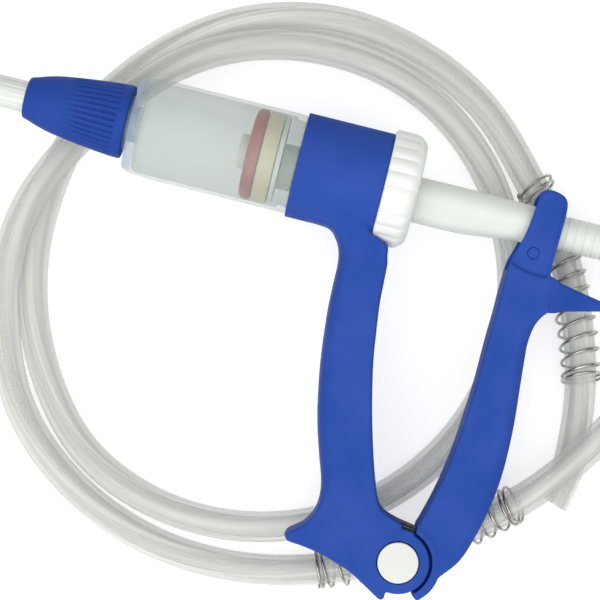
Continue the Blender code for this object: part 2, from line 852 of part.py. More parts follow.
def build():
    clear()
    handle_frame()
    barrel()
    nose_nut()
    nozzle_tube()
    lathe("nozzle_seal", [(-151.5, 9.3), (-151.5, 7.3), (-150.3, 7.3), (-150.3, 9.3)], 20)
    lathe("delivery_valve_seat", [(-137.4, 6.7), (-137.4, 3.0), (-134.4, 3.0), (-134.4, 6.7)], 20)
    turned("delivery_valve_poppet", [(-146.0, 1.0), (-145.6, 1.3), (-139.9, 1.3), (-139.9, 4.4), (-137.9, 4.4), (-137.6, 4.1)], 20)
    coil_x("delivery_valve_spring", -151.4, -140.2, 3.7, 0.6, 4.5)
    rear_cap_nut()
    rings = [ring_x(-38.7, 15.5, 32), ring_x(-31.7, 15.5, 32)]
    guide = egg(7.0, 5.3, 11.0)
    rings += [ring_x(-31.7, guide, 32), ring_x(-38.7, guide, 32)]
    rings_object("rod_guide_bush", rings, closed=True)
    wiper = egg(7.05, 5.3, 11.0)
    rings_object(
        "barrel_rear_seal",
        [ring_x(-45.0, 16.2, 32), ring_x(-41.3, 16.2, 32), ring_x(-41.3, wiper, 32), ring_x(-45.0, wiper, 32)],
        closed=True,
    )
    post("pivot_pin", [(-12.4, 7.2), (-12.0, 7.65), (-9.7, 7.65), (-9.7, 4.0), (9.2, 4.0)], 24)
    post("pivot_cap", [(9.7, 7.65), (12.2, 7.65), (CAP_TOP, 7.2)], 32)
    return_spring()

    trigger_lever()
    post("lever_pin", [(-10.6, 1.8), (-10.3, 2.05), (10.3, 2.05), (10.6, 1.8)], 24, *PIN)
    post_ring("pivot_bush", [(-6.1, 4.3), (-6.1, 5.6), (6.1, 5.6), (6.1, 4.3)], 24)

    piston_rod()
    rod_yoke()
    lathe("piston_front", [(-94.8, 6.2), (-94.8, 3.2), (-91.8, 3.2), (-91.8, 6.6), (-94.2, 6.6)], 20)
    lathe(
        "piston_seal",
        [(-91.5, 3.2), (-86.8, 3.2), (-86.8, 16.4), (-87.2, 17.3), (-88.2, 17.45), (-89.6, 17.3), (-90.9, 16.3), (-91.5, 14.5)],
        32,
    )
    lathe("piston_body", [(-86.5, 3.2), (-80.5, 3.2), (-80.5, 17.0), (-80.8, 17.3), (-86.2, 17.3), (-86.5, 17.0)], 32)
    lathe("piston_backing", [(-80.2, 3.2), (-78.4, 3.2), (-78.4, 16.8), (-80.2, 16.8)], 32)
    lathe("inlet_valve_cage", [(44.3, 4.1), (44.3, 2.0), (46.2, 2.0), (46.2, 4.1)], 24)
    coil_x("inlet_valve_spring", 46.4, 52.6, 2.7, 0.5, 4.0)
    turned("inlet_valve_poppet", [(45.2, 0.9), (45.5, 1.2), (52.9, 1.2), (52.9, 3.3), (54.2, 3.3), (54.5, 3.0)], 24)
    lathe(
        "inlet_spigot",
        [
            (54.8, 4.1),
            (54.8, 1.8),
            (82.0, 1.8),
            (82.0, 3.0),
            (78.5, 4.3),
            (78.5, 3.3),
            (75.0, 4.3),
            (75.0, 3.3),
            (71.5, 4.3),
            (71.5, 3.3),
            (62.8, 3.3),
            (62.8, 6.0),
            (60.3, 6.0),
            (60.3, 4.1),
        ],
        20,
    )

    move = Matrix.Rotation(TILT, 4, "Y") @ Matrix.Translation(Vector((0, 0, -CAP_TOP * MM)))
    for obj in bpy.data.objects:
        obj.matrix_world = move

    path, part_a, part_b = hose_path(13.5)
    along = frames(path)
    pipe("draw_off_hose", along, 6.0, 4.0, 8)
    coil_on("hose_spring_a", along[part_a], 7.25, 1.2, 5.8)
    coil_on("hose_spring_b", along[part_b], 7.25, 1.2, 5.8)


build()
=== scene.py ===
"""Looks of a pour-on applicator: a pistol-grip dosing gun with a squeeze lever, lying on its draw-off hose.

Row's frame: X along the barrel towards the rear, Z up, the origin at the pivot cap's top face.
The gun's pieces are made in its own frame, in millimetres, and leaned by GUN into the row's frame.
"""

import json
import math

import bmesh
import bpy
from mathutils import Matrix, Vector

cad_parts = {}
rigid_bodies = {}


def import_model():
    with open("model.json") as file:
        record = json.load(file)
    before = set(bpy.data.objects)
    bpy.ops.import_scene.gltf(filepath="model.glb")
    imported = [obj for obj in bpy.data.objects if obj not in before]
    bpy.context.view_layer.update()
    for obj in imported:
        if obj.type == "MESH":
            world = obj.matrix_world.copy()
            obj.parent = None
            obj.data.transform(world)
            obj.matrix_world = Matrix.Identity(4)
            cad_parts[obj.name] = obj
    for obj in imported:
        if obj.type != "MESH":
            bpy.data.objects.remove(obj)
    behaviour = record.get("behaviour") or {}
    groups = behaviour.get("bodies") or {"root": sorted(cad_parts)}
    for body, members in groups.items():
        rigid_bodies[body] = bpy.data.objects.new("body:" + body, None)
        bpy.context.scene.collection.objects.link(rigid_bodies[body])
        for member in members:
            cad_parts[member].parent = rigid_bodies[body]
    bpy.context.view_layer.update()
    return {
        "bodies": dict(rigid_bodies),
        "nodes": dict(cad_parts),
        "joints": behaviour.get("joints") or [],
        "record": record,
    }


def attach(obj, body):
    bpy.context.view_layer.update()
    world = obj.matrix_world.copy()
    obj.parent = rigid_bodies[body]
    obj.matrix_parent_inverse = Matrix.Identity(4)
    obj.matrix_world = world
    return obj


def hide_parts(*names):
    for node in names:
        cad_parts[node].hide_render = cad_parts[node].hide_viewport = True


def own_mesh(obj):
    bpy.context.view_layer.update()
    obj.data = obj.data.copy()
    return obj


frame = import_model()

MM = 0.001
TILT = math.radians(3.0)
AXIS = 135.2
CAP_TOP = 12.6
REST = 29.8
GUN = Matrix.Rotation(TILT, 4, "Y") @ Matrix.Translation(Vector((0, 0, -CAP_TOP * MM)))
FLOOR = (-CAP_TOP * math.cos(TILT) - REST) * MM

UNIT = 0.375
PIVOT_U = (397.6, 562.0)
TURN = math.radians(14.0)
PIN = (21.15, 124.0)


def g(u, v):
    """A point of the side view, in the gun's own X and Y."""
    dx, dy = u - PIVOT_U[0], PIVOT_U[1] - v
    c, s = math.cos(TURN), math.sin(TURN)
    return ((dx * c - dy * s) * UNIT, (dx * s + dy * c) * UNIT)


def to2(points):
    return [(p[0], p[1]) for p in points]


# ---------------------------------------------------------------- meshes


def mesh_object(name, verts, faces, sharp=35.0, gun=True):
    """A closed mesh from points in millimetres; smooth but for edges sharper than the angle."""
    mesh = bpy.data.meshes.new(name)
    mesh.from_pydata([tuple(c * MM for c in v) for v in verts], [], faces)
    bm = bmesh.new()
    bm.from_mesh(mesh)
    bmesh.ops.recalc_face_normals(bm, faces=bm.faces)
    if bm.calc_volume(signed=True) < 0:
        bmesh.ops.reverse_faces(bm, faces=bm.faces)
    bm.to_mesh(mesh)
    bm.free()
    if gun:
        mesh.transform(GUN)
    smooth(mesh, sharp)
    obj = bpy.data.objects.new(name, mesh)
    bpy.context.scene.collection.objects.link(obj)
    return obj


def smooth(mesh, sharp):
    mesh.shade_smooth()
    if sharp:
        mesh.set_sharp_from_angle(angle=math.radians(sharp))


def rings_object(name, rings, closed=False, sharp=35.0, gun=True):
    """Skins a row of loops of equal length; closed joins the last loop to the first."""
    n = len(rings[0])
    verts = [p for ring in rings for p in ring]
    faces = []
    count = len(rings)
    for i in range(count if closed else count - 1):
        a, b = i * n, ((i + 1) % count) * n
        for k in range(n):
            m = (k + 1) % n
            faces.append((a + k, a + m, b + m, b + k))
    if not closed:
        faces.append(tuple(range(n)))
        faces.append(tuple(range((count - 1) * n, count * n)))
    return mesh_object(name, verts, faces, sharp, gun)


def ring_x(x, radius, n=32, y=AXIS, z=0.0):
    out = []
    for k in range(n):
        t = 2 * math.pi * k / n
        r = radius(t) if callable(radius) else radius
        out.append((x, y + r * math.cos(t), z + r * math.sin(t)))
    return out


def ring_z(z, radius, n=32, x=0.0, y=0.0):
    return [
        (x + radius * math.cos(2 * math.pi * k / n), y + radius * math.sin(2 * math.pi * k / n), z)
        for k in range(n)
    ]


def soften(profile, size, closed, parts=4):
    """Rounds the corners of a profile of (station, radius) by arcs that start `size` from the corner."""
    pts = [Vector(p[:2]) for p in profile]
    own = [p[2] if len(p) > 2 else size for p in profile]
    n = len(pts)
    out = []
    for i, p in enumerate(pts):
        if not closed and i in (0, n - 1):
            out.append((p.x, p.y))
            continue
        a, b = pts[i - 1] - p, pts[(i + 1) % n] - p
        if own[i] <= 0 or min(a.length, b.length) < 1e-6 or abs(a.normalized().cross(b.normalized())) < 0.05:
            out.append((p.x, p.y))
            continue
        s = min(own[i], 0.45 * a.length, 0.45 * b.length)
        u, v = p + a.normalized() * s, p + b.normalized() * s
        for k in range(parts + 1):
            t = k / parts
            q = u * (1 - t) ** 2 + p * (2 * t * (1 - t)) + v * t * t
            out.append((q.x, q.y))
    return out


def lathe(name, profile, n=96, size=0.2, sharp=35.0):
    """Turns a closed profile of (x, r) about the barrel axis; every r is above zero."""
    return rings_object(name, [ring_x(x, r, n) for x, r in soften(profile, size, True)], True, sharp)


def turned(name, profile, n=96, size=0.2, sharp=35.0):
    """Turns an open profile, which ends in flat faces, about the barrel axis."""
    return rings_object(name, [ring_x(x, r, n) for x, r in soften(profile, size, False)], False, sharp)


def post(name, profile, n=96, x=0.0, y=0.0, size=0.2, sharp=35.0):
    return rings_object(name, [ring_z(z, r, n, x, y) for z, r in soften(profile, size, False)], False, sharp)


def post_ring(name, profile, n=96, x=0.0, y=0.0, size=0.2, sharp=35.0):
    return rings_object(name, [ring_z(z, r, n, x, y) for z, r in soften(profile, size, True)], True, sharp)


def spline(points, steps, closed=True):
    """Catmull-Rom curve through points; each may be followed by more values."""
    pts = [Vector(p) for p in points]
    n = len(pts)
    out = []
    for i in range(n if closed else n - 1):
        if closed:
            p0, p1, p2, p3 = pts[i - 1], pts[i], pts[(i + 1) % n], pts[(i + 2) % n]
        else:
            p0, p1, p2, p3 = pts[max(i - 1, 0)], pts[i], pts[i + 1], pts[min(i + 2, n - 1)]
        for k in range(steps):
            t = k / steps
            out.append(
                0.5
                * (
                    2 * p1
                    + (p2 - p0) * t
                    + (2 * p0 - 5 * p1 + 4 * p2 - p3) * t * t
                    + (3 * p1 - p0 - 3 * p2 + p3) * t * t * t
                )
            )
    if not closed:
        out.append(pts[-1].copy())
    return out


def inward(outline):
    """Unit inward normals of a closed outline."""
    n = len(outline)
    area = sum(
        outline[i].x * outline[(i + 1) % n].y - outline[(i + 1) % n].x * outline[i].y
        for i in range(n)
    )
    sign = 1.0 if area > 0 else -1.0
    out = []
    for i in range(n):
        d = (outline[(i + 1) % n] - outline[i - 1]).normalized()
        out.append(Vector((-d.y, d.x)) * sign)
    return out


def rounded_prism(name, outline, half, edge, layers=2, draft=0.0, drop=None):
    """The outline at both sides of z = 0: walls with draft, rims rounded, less at narrow tips.

    edge is the rounding's width, a number or one per point of the outline.
    """
    normals = inward(outline)
    n = len(outline)
    widths = list(edge) if hasattr(edge, "__len__") else [edge] * n
    room = []
    for i in range(n):
        least = 99.0
        for j in range(n):
            d = outline[j] - outline[i]
            up = d.dot(normals[i])
            if up > 1e-6:
                least = min(least, d.length_squared / (2 * up))
        room.append(least)
    inset = [min(w, 0.55 * r) for w, r in zip(widths, room)]
    for _ in range(4):
        inset = [
            min(inset[i], 0.25 * inset[i - 1] + 0.5 * inset[i] + 0.25 * inset[(i + 1) % n])
            for i in range(n)
        ]
    lean = [min(draft, 0.2 * r) for r in room]
    depth = [min(w if drop is None else drop, 0.75 * half) for w in widths]
    rings = []
    for k in range(layers + 1):
        a = math.pi / 2 * k / layers
        rings.append((1 - math.sin(a), 1 - math.cos(a)))
    loops = [
        [
            (
                p.x + m.x * (lo + d * share),
                p.y + m.y * (lo + d * share),
                -(half - e * down),
            )
            for p, m, d, lo, e in zip(outline, normals, inset, lean, depth)
        ]
        for share, down in rings
    ]
    middle = [[(p.x, p.y, 0.0) for p in outline]] if draft else []
    return rings_object(name, loops + middle + [[(x, y, -z) for x, y, z in loop] for loop in reversed(loops)])


def egg(top, low_r, low, y=AXIS):
    """Radius by angle for a round bar of radius `top` with a keel of radius low_r down to `low`."""
    drop = low - low_r

    def radius(t):
        # angle 0 points up, along +Y
        ux, uy = math.sin(t), math.cos(t)
        best = 0.0
        for k in range(41):
            f = k / 40
            cy, r = -drop * f, top + (low_r - top) * f
            b = uy * cy
            disc = b * b - (cy * cy - r * r)
            if disc > 0:
                best = max(best, b + math.sqrt(disc))
        return best

    return radius


def block(name, lo, hi):
    x0, y0, z0 = lo
    x1, y1, z1 = hi
    loop = [(x0, y0), (x1, y0), (x1, y1), (x0, y1)]
    return rings_object(name, [[(x, y, z0) for x, y in loop], [(x, y, z1) for x, y in loop]])


def bar(name, start, direction, t0, t1, half, z0, z1):
    dx, dy = direction
    px, py = -dy * half, dx * half
    loop = [
        (start[0] + dx * t0 + px, start[1] + dy * t0 + py),
        (start[0] + dx * t0 - px, start[1] + dy * t0 - py),
        (start[0] + dx * t1 - px, start[1] + dy * t1 - py),
        (start[0] + dx * t1 + px, start[1] + dy * t1 + py),
    ]
    return rings_object(name, [[(x, y, z0) for x, y in loop], [(x, y, z1) for x, y in loop]])


def cut(obj, tool, how="DIFFERENCE"):
    """Applies a boolean and removes its tool."""
    mod = obj.modifiers.new("cut", "BOOLEAN")
    mod.operation = how
    mod.solver = "MANIFOLD"
    mod.object = tool
    apply_all(obj)
    bpy.data.objects.remove(tool, do_unlink=True)
    return obj


def apply_all(obj):
    bpy.context.view_layer.update()
    dg = bpy.context.evaluated_depsgraph_get()
    mesh = bpy.data.meshes.new_from_object(obj.evaluated_get(dg))
    obj.modifiers.clear()
    old = obj.data
    obj.data = mesh
    bpy.data.meshes.remove(old)


def mould(obj, voxel=0.36, passes=5, factor=0.5):
    """Melts a cut solid into one moulded skin with soft inner and outer corners."""
    mod = obj.modifiers.new("skin", "REMESH")
    mod.mode = "VOXEL"
    mod.voxel_size = voxel * MM
    mod.adaptivity = 0.0
    mod = obj.modifiers.new("soft", "SMOOTH")
    mod.factor = factor
    mod.iterations = passes
    apply_all(obj)
    smooth(obj.data, 0)
    return obj


def frames(path):
    """Turning-free frames along a path of points."""
    out = []
    normal = None
    for i, p in enumerate(path):
        a = path[max(i - 1, 0)]
        b = path[min(i + 1, len(path) - 1)]
        t = (b - a).normalized()
        if normal is None:
            normal = t.cross(Vector((0, 0, 1)))
            if normal.length < 1e-3:
                normal = t.cross(Vector((0, 1, 0)))
        normal = (normal - t * normal.dot(t)).normalized()
        out.append((p, normal, t.cross(normal)))
    return out


def section(frame, radius, n):
    p, a, b = frame
    return [
        tuple(p + (a * math.cos(2 * math.pi * k / n) + b * math.sin(2 * math.pi * k / n)) * radius)
        for k in range(n)
    ]


def wire(name, path, radius, n=12, gun=True):
    """A round wire with rounded-over ends."""
    fr = frames(path)
    first, last = fr[0], fr[-1]
    back = (path[0] - path[1]).normalized()
    on = (path[-1] - path[-2]).normalized()
    rings = []
    for k in range(3):
        a = math.pi / 2 * (k + 0.35) / 3.35
        rings.append(section((first[0] + back * radius * 0.5 * math.cos(a), *first[1:]), radius * math.sin(a), n))
    rings += [section(f, radius, n) for f in fr]
    for k in reversed(range(3)):
        a = math.pi / 2 * (k + 0.35) / 3.35
        rings.append(section((last[0] + on * radius * 0.5 * math.cos(a), *last[1:]), radius * math.sin(a), n))
    return rings_object(name, rings, False, 60.0, gun)


def coil_on(name, fr, mean, thick, pitch, slant, n=36, sides=12):
    """A spring's wire round the hose, along some of its frames; the last turn at each end is close.

    slant(share) gives how far each turn leans sideways and forwards, and how far it sits to one side.
    """
    run = [0.0]
    for a, b in zip(fr, fr[1:]):
        run.append(run[-1] + (b[0] - a[0]).length)
    at, angle, path, j = thick, 0.0, [], 0
    while at <= run[-1] - thick:
        while j < len(run) - 2 and run[j + 1] < at:
            j += 1
        f = (at - run[j]) / (run[j + 1] - run[j])
        p, a, b = (u.lerp(v, f) for u, v in zip(fr[j], fr[j + 1]))
        on = (fr[j + 1][0] - fr[j][0]).normalized()
        skew, lean, side = slant(at / run[-1])
        path.append(
            p
            + (a.normalized() * math.cos(angle) + b.normalized() * math.sin(angle)) * mean
            + a.normalized() * side
            + on * (skew * math.cos(angle) + lean * math.sin(angle))
        )
        near = min(at - thick, run[-1] - thick - at) / (pitch * 0.5)
        angle += 2 * math.pi / n
        share = min(max((near - 0.7) / 0.6, 0.0), 1.0)
        at += (1.5 * thick + (pitch - 1.5 * thick) * share) / n
    return wire(name, path, thick / 2, sides, False)


def coil_x(name, x0, x1, mean, thick, turns, n=36, sides=10):
    total = int(turns * n)
    path = []
    for k in range(total + 1):
        a = 2 * math.pi * k / n
        x = x0 + thick / 2 + (x1 - x0 - thick) * k / total
        path.append(Vector((x, AXIS + mean * math.cos(a), mean * math.sin(a))))
    return wire(name, path, thick / 2, sides)


HANDLE = [
    (-66.5, 119.9),
    (-63.6, 115.7),
    g(329, 230),
    g(336, 240),
    g(339, 252),
    g(338, 266),
    g(333, 288),
    g(328, 312),
    g(323, 345),
    g(320, 372),
    g(318, 405),
    g(318, 430),
    g(319.5, 455),
    g(321.5, 480),
    g(320, 497),
    g(314.5, 511),
    g(303.5, 523),
    g(289, 530),
    g(284.8, 535.5),
    g(288, 541.5),
    g(301, 546.2),
    g(318, 553.4),
    g(334, 562.4),
    g(349, 572.3),
    g(362, 584.2),
    g(372.5, 594.5),
    g(379, 599.5),
    g(384, 598),
    g(387, 592),
    (1.5, -8.5),
    (3.5, -3.0),
    (3.5, 4.0),
    (0.6, 9.6),
    (-1.1, 12.6),
    (-1.4, 13.9),
    (-2.9, 15.2),
    g(389, 514.2),
    g(383, 508.8),
    g(379.8, 503),
    g(377.4, 492),
    g(375, 468),
    g(373.3, 432),
    g(373.1, 397),
    g(374.3, 362),
    g(377, 335),
    g(380.5, 306),
    g(384.3, 286),
    g(388.2, 266),
    (-31.0, 109.9),
    (-31.8, 113.7),
    (-35.5, 115.8),
    (-39.5, 117.8),
    (-43.0, 119.9),
    (-48.0, 121.9),
    (-58.0, 121.9),
]

LEVER = [
    g(552, 191.2),
    g(545, 191.8),
    g(538.6, 197.5),
    g(533.8, 209),
    g(525.5, 231),
    g(516.8, 248),
    g(508.2, 263),
    g(500.3, 289),
    g(494, 313),
    g(486, 341),
    g(475.5, 381),
    g(465.5, 413),
    g(452.6, 451),
    g(440, 481),
    g(429, 503),
    g(421.8, 515.8),
    (3.4, 13.6),
    (4.2, 8.5),
    (6.0, 3.0),
    (6.5, -2.0),
    (6.9, -7.0),
    g(411, 592.5),
    g(413, 598.2),
    g(416.5, 600.5),
    g(421, 599),
    g(428.5, 593.5),
    g(432.8, 586),
    g(438.5, 578.6),
    g(461, 560.5),
    g(479, 533.5),
    g(493.3, 504),
    g(503.3, 476),
    g(511, 446),
    g(516.4, 419),
    g(520.8, 391),
    g(525.6, 361),
    g(529, 343.5),
    g(534.3, 329),
    g(541, 320),
    g(548, 313.5),
    g(550.5, 301),
    g(550.5, 287),
    g(551, 275),
    g(555.3, 257),
    g(562, 233),
    g(566.6, 216),
    g(567.6, 204),
    g(563, 196.5),
]

TAIL = [
    (24.0, 114.0),
    g(549, 278),
    g(560, 284.5),
    g(574, 291),
    g(600, 302),
    g(614, 307.8),
    g(617, 310.5),
    g(612, 312.9),
    g(596, 313),
    g(565, 313),
    g(550, 314.5),
    (25.0, 104.5),
]

# Hose centreline: side view units, then the centre's height above the floor in mm.
HOSE = [
    (559.5, 507.5, 6.0),
    (566.5, 481, 6.0),
    (574.5, 447, 6.0),
    (581, 415, 6.8),
    (582.8, 385, 7.7),
    (583, 355, 7.8),
    (579, 320, 7.8),
    (573.5, 290, 7.8),
    (567.5, 260, 7.8),
    (557, 232, 7.8),
    (545, 208, 7.8),
    (530.5, 183.5, 7.6),
    (512, 152, 6.6),
    (497.5, 128.5, 6.1),
    (468, 92.5, 6.0),
    (432, 62, 6.0),
    (396, 40, 6.0),
    (348.5, 22.5, 6.0),
    (299, 16, 6.0),
    (240, 21, 6.0),
    (200, 34, 6.0),
    (160, 54, 6.0),
    (128, 77, 6.0),
    (97, 105, 6.0),
    (71, 137.5, 6.0),
    (51.5, 183, 6.0),
    (36, 228, 6.0),
    (30, 272, 6.0),
    (30, 310, 6.0),
    (38, 352, 6.0),
    (52, 398, 6.0),
    (79, 450, 6.0),
    (106, 475, 6.0),
    (136, 496.5, 6.0),
    (183, 518, 6.0),
    (237, 529.5, 6.0),
    (280, 529.5, 6.0),
    (315.5, 525.5, 6.0),
    (351, 515, 6.0),
    (386, 499.5, 6.0),
    (422, 475, 6.0),
    (449, 450.5, 6.0),
    (474, 418, 6.0),
    (493.5, 383.5, 6.0),
    (508, 342, 6.0),
    (515.5, 301, 6.0),
    (515.5, 272, 6.0),
    (510.5, 236, 6.0),
    (501, 203, 6.0),
    (492.5, 174.5, 6.0),
    (476.5, 143, 6.4),
    (450.5, 110.5, 7.4),
    (404, 78, 9.0),
    (343, 52.5, 10.6),
    (275, 43, 12.8),
    (214.5, 50.5, 14.9),
    (168.5, 68.5, 16.0),
    (137, 89, 16.9),
    (105, 114, 17.8),
    (74, 142.5, 18.4),
    (53, 166.5, 18.3),
    (34.5, 191, 17.4),
    (15.5, 228.5, 15.6),
    (6.5, 270, 14.0),
    (3, 310, 12.8),
    (5.5, 355, 11.6),
    (13, 397.5, 10.8),
    (30.8, 435, 10.3),
    (48, 459.5, 9.8),
    (80.3, 496.5, 8.0),
    (120, 526.5, 6.4),
    (159, 548, 6.0),
    (203, 562.8, 6.0),
    (243, 571, 6.1),
    (288, 573.5, 7.0),
    (314, 572.5, 7.6),
    (360, 566.5, 7.8),
    (400, 557, 7.8),
    (440, 543, 7.8),
    (471, 529, 8.2),
    (500.5, 514, 10.8),
    (521.5, 504, 13.8),
    (551.5, 484.5, 17.5),
    (577, 463.5, 19.0),
    (602, 439.5, 18.8),
    (630, 411.5, 17.6),
]
SPRING_A = ((529, 181), (583.5, 382))
SPRING_B = ((310.5, 572.5), (519, 505))
EYE = (*g(300, 300), 1000.0)  # the eye of the side view, in the gun's own frame

# the return spring's end: out of the coil, then along the handle
LEG = [(7.9, -1.5), (8.85, 1.6), (8.9, 4.9), (7.9, 7.7), (6.4, 10.0), (5.45, 11.8), (4.0, 13.3), (2.0, 13.95), (-1.5, 14.55), (-6.5, 15.5)]
LEG_FROM = (3.9, 13.55)
LEG_WAY = (-0.983, 0.184)


def floor_point(u, v, height):
    """The point at a height above the floor that shows at u, v from the eye."""
    x, y = g(u, v)
    c, s = math.cos(TILT), math.sin(TILT)

    def lift(px, pz):  # own frame to the row's frame, about the cap's top
        return px * c + (pz - CAP_TOP) * s, -px * s + (pz - CAP_TOP) * c

    ex, ez = lift(EYE[0], EYE[2])
    mx, mz = lift(x, 0.0)
    want = -CAP_TOP * c - REST + height
    t = (want - ez) / (mz - ez)
    return Vector((ex + (mx - ex) * t, EYE[1] + (y - EYE[1]) * t, want))


def evenly(points, gap, marks=()):
    """Points at an even spacing along a line, and the index of each mark, given as a distance."""
    run = [0.0]
    for a, b in zip(points, points[1:]):
        run.append(run[-1] + (b - a).length)
    stops = [0.0, *marks, run[-1]]
    out, ends = [], []
    j = 0
    for a, b in zip(stops, stops[1:]):
        ends.append(len(out))
        count = max(round((b - a) / gap), 1)
        for k in range(count + (b == stops[-1])):
            want = a + (b - a) * k / count
            while j < len(run) - 2 and run[j + 1] < want:
                j += 1
            f = (want - run[j]) / (run[j + 1] - run[j])
            out.append(points[j].lerp(points[j + 1], min(max(f, 0.0), 1.0)))
    return out, ends[1:]


def settle(points, low, clear=12.3, rounds=70):
    """Moves the turns of a hose apart where they would lie in each other, and smooths it."""
    n = len(points)
    ends = (points[0].copy(), points[-1].copy())
    for turn in range(rounds):
        if turn % 5 == 0:
            close = [
                (i, j)
                for i in range(n)
                for j in range(i + 12, n)
                if abs(points[i].x - points[j].x) < clear + 3 and abs(points[i].y - points[j].y) < clear + 3
            ]
        for i, j in close:
            d = points[i] - points[j]
            if abs(d.x) < clear and abs(d.y) < clear:
                gap = d.length
                if 0.01 < gap < clear:
                    push = d * ((clear - gap) / gap * 0.5)
                    points[i] += push
                    points[j] -= push
        if turn < rounds - 6:
            old = [p.copy() for p in points]
            for i in range(1, n - 1):
                points[i] += ((old[i - 1] + old[i + 1]) / 2 - old[i]) * 0.12
            points[0], points[-1] = ends[0].copy(), ends[1].copy()
        for p in points:
            p.z = max(p.z, low)
    return points


def hose_path(gap):
    """The hose's centreline from its visible end on, and where the two springs lie on it."""
    low = -CAP_TOP * math.cos(TILT) - REST + 6.0
    fine = spline([floor_point(u, v, h) for u, v, h in HOSE], 8, closed=False)
    even = settle(evenly(fine, 4.0)[0], low)
    run = [0.0]
    for a, b in zip(even, even[1:]):
        run.append(run[-1] + (b - a).length)
    marks = []
    for u, v in SPRING_A + SPRING_B:
        q = floor_point(u, v, 7.8)
        near = min(range(len(even)), key=lambda i: (even[i].x - q.x) ** 2 + (even[i].y - q.y) ** 2)
        marks.append(run[near])
    marks.sort()
    out, ends = evenly(even, gap, marks)
    return out, slice(ends[0], ends[1] + 1), slice(ends[2], ends[3] + 1)


def grip_edge(p, outline):
    """Rounding of the handle's rim: wide in front of the grip, narrow behind it and round the pivot."""
    front = -49.5 + 0.12 * (108.0 - p.y)
    share = min(max((p.y - 12.0) / 14.0, 0.0), 1.0) * min(max((119.0 - p.y) / 8.0, 0.0), 1.0)
    wide = share * min(max((front + 13.0 - p.x) / 6.0, 0.0), 1.0)
    return 1.0 + 5.5 * wide


def lever_edge(p):
    """Rounding of the lever's rim: wide at the back, narrow in front and about the fork."""
    back = min(max((p.x - 18.0) / 6.0, 0.0), 1.0)
    share = min(max((p.y - 2.0) / 12.0, 0.0), 1.0) * min(max((104.0 - p.y) / 14.0, 0.0), 1.0)
    return 1.0 + 4.0 * back * share


# ---------------------------------------------------------------- materials


class Paint:
    """A Principled material with its own noise-driven colour, roughness and grain."""

    def __init__(self, name, stretch=(1, 1, 1), uv=False):
        self.mat = bpy.data.materials.new(name)
        self.mat.use_nodes = True
        self.tree = self.mat.node_tree
        self.shader = self.tree.nodes["Principled BSDF"]
        self.where = self.add("ShaderNodeTexCoord").outputs["UV" if uv else "Object"]
        if not uv:  # the gun's own axes
            lean = self.add("ShaderNodeMapping")
            lean.inputs["Rotation"].default_value = (0.0, -TILT, 0.0)
            self.link(self.where, lean.inputs["Vector"])
            self.where = lean.outputs["Vector"]
        place = self.add("ShaderNodeMapping")
        place.inputs["Scale"].default_value = stretch
        self.link(self.where, place.inputs["Vector"])
        self.place = place.outputs["Vector"]

    def add(self, kind, **values):
        node = self.tree.nodes.new(kind)
        for key, value in values.items():
            setattr(node, key, value)
        return node

    def link(self, a, b):
        self.tree.links.new(a, b)

    def noise(self, scale, detail=3.0, rough=0.55, source=None):
        node = self.add("ShaderNodeTexNoise")
        node.inputs["Scale"].default_value = scale
        node.inputs["Detail"].default_value = detail
        node.inputs["Roughness"].default_value = rough
        self.link(source or self.place, node.inputs["Vector"])
        return node.outputs["Fac"]

    def ramp(self, value, stops, smooth_steps=False):
        node = self.add("ShaderNodeValToRGB")
        if smooth_steps:
            node.color_ramp.interpolation = "EASE"
        band = node.color_ramp.elements
        while len(band) < len(stops):
            band.new(0.5)
        for element, (at, colour) in zip(band, stops):
            element.position = at
            element.color = (*colour, 1.0)
        self.link(value, node.inputs["Fac"])
        return node.outputs["Color"]

    def span(self, value, lo, hi, to_lo, to_hi, smooth_steps=False):
        node = self.add("ShaderNodeMapRange")
        if smooth_steps:
            node.interpolation_type = "SMOOTHSTEP"
        for key, number in zip(("From Min", "From Max", "To Min", "To Max"), (lo, hi, to_lo, to_hi)):
            node.inputs[key].default_value = number
        self.link(value, node.inputs["Value"])
        return node.outputs["Result"]

    def maths(self, how, a, b):
        node = self.add("ShaderNodeMath", operation=how)
        for slot, value in zip(node.inputs, (a, b)):
            if isinstance(value, (int, float)):
                slot.default_value = value
            else:
                self.link(value, slot)
        return node.outputs["Value"]

    def mix(self, how, share, a, b):
        node = self.add("ShaderNodeMix", data_type="RGBA", blend_type=how)
        for slot, value in ((node.inputs["Factor"], share), (node.inputs["A"], a), (node.inputs["B"], b)):
            if isinstance(value, (int, float)):
                slot.default_value = value
            elif isinstance(value, tuple):
                slot.default_value = (*value, 1.0)
            else:
                self.link(value, slot)
        return node.outputs["Result"]

    def colour(self, socket):
        self.link(socket, self.shader.inputs["Base Color"])
        return self

    def rough(self, socket):
        self.link(socket, self.shader.inputs["Roughness"])
        return self

    def bump(self, layers):
        """layers of (height socket, height in mm)."""
        normal = None
        for height, tall in layers:
            node = self.add("ShaderNodeBump")
            node.inputs["Strength"].default_value = 1.0
            node.inputs["Distance"].default_value = tall * MM
            self.link(height, node.inputs["Height"])
            if normal is not None:
                self.link(normal, node.inputs["Normal"])
            normal = node.outputs["Normal"]
        self.link(normal, self.shader.inputs["Normal"])
        return self

    def set(self, **values):
        for key, value in values.items():
            self.shader.inputs[key.replace("_", " ")].default_value = value
        return self


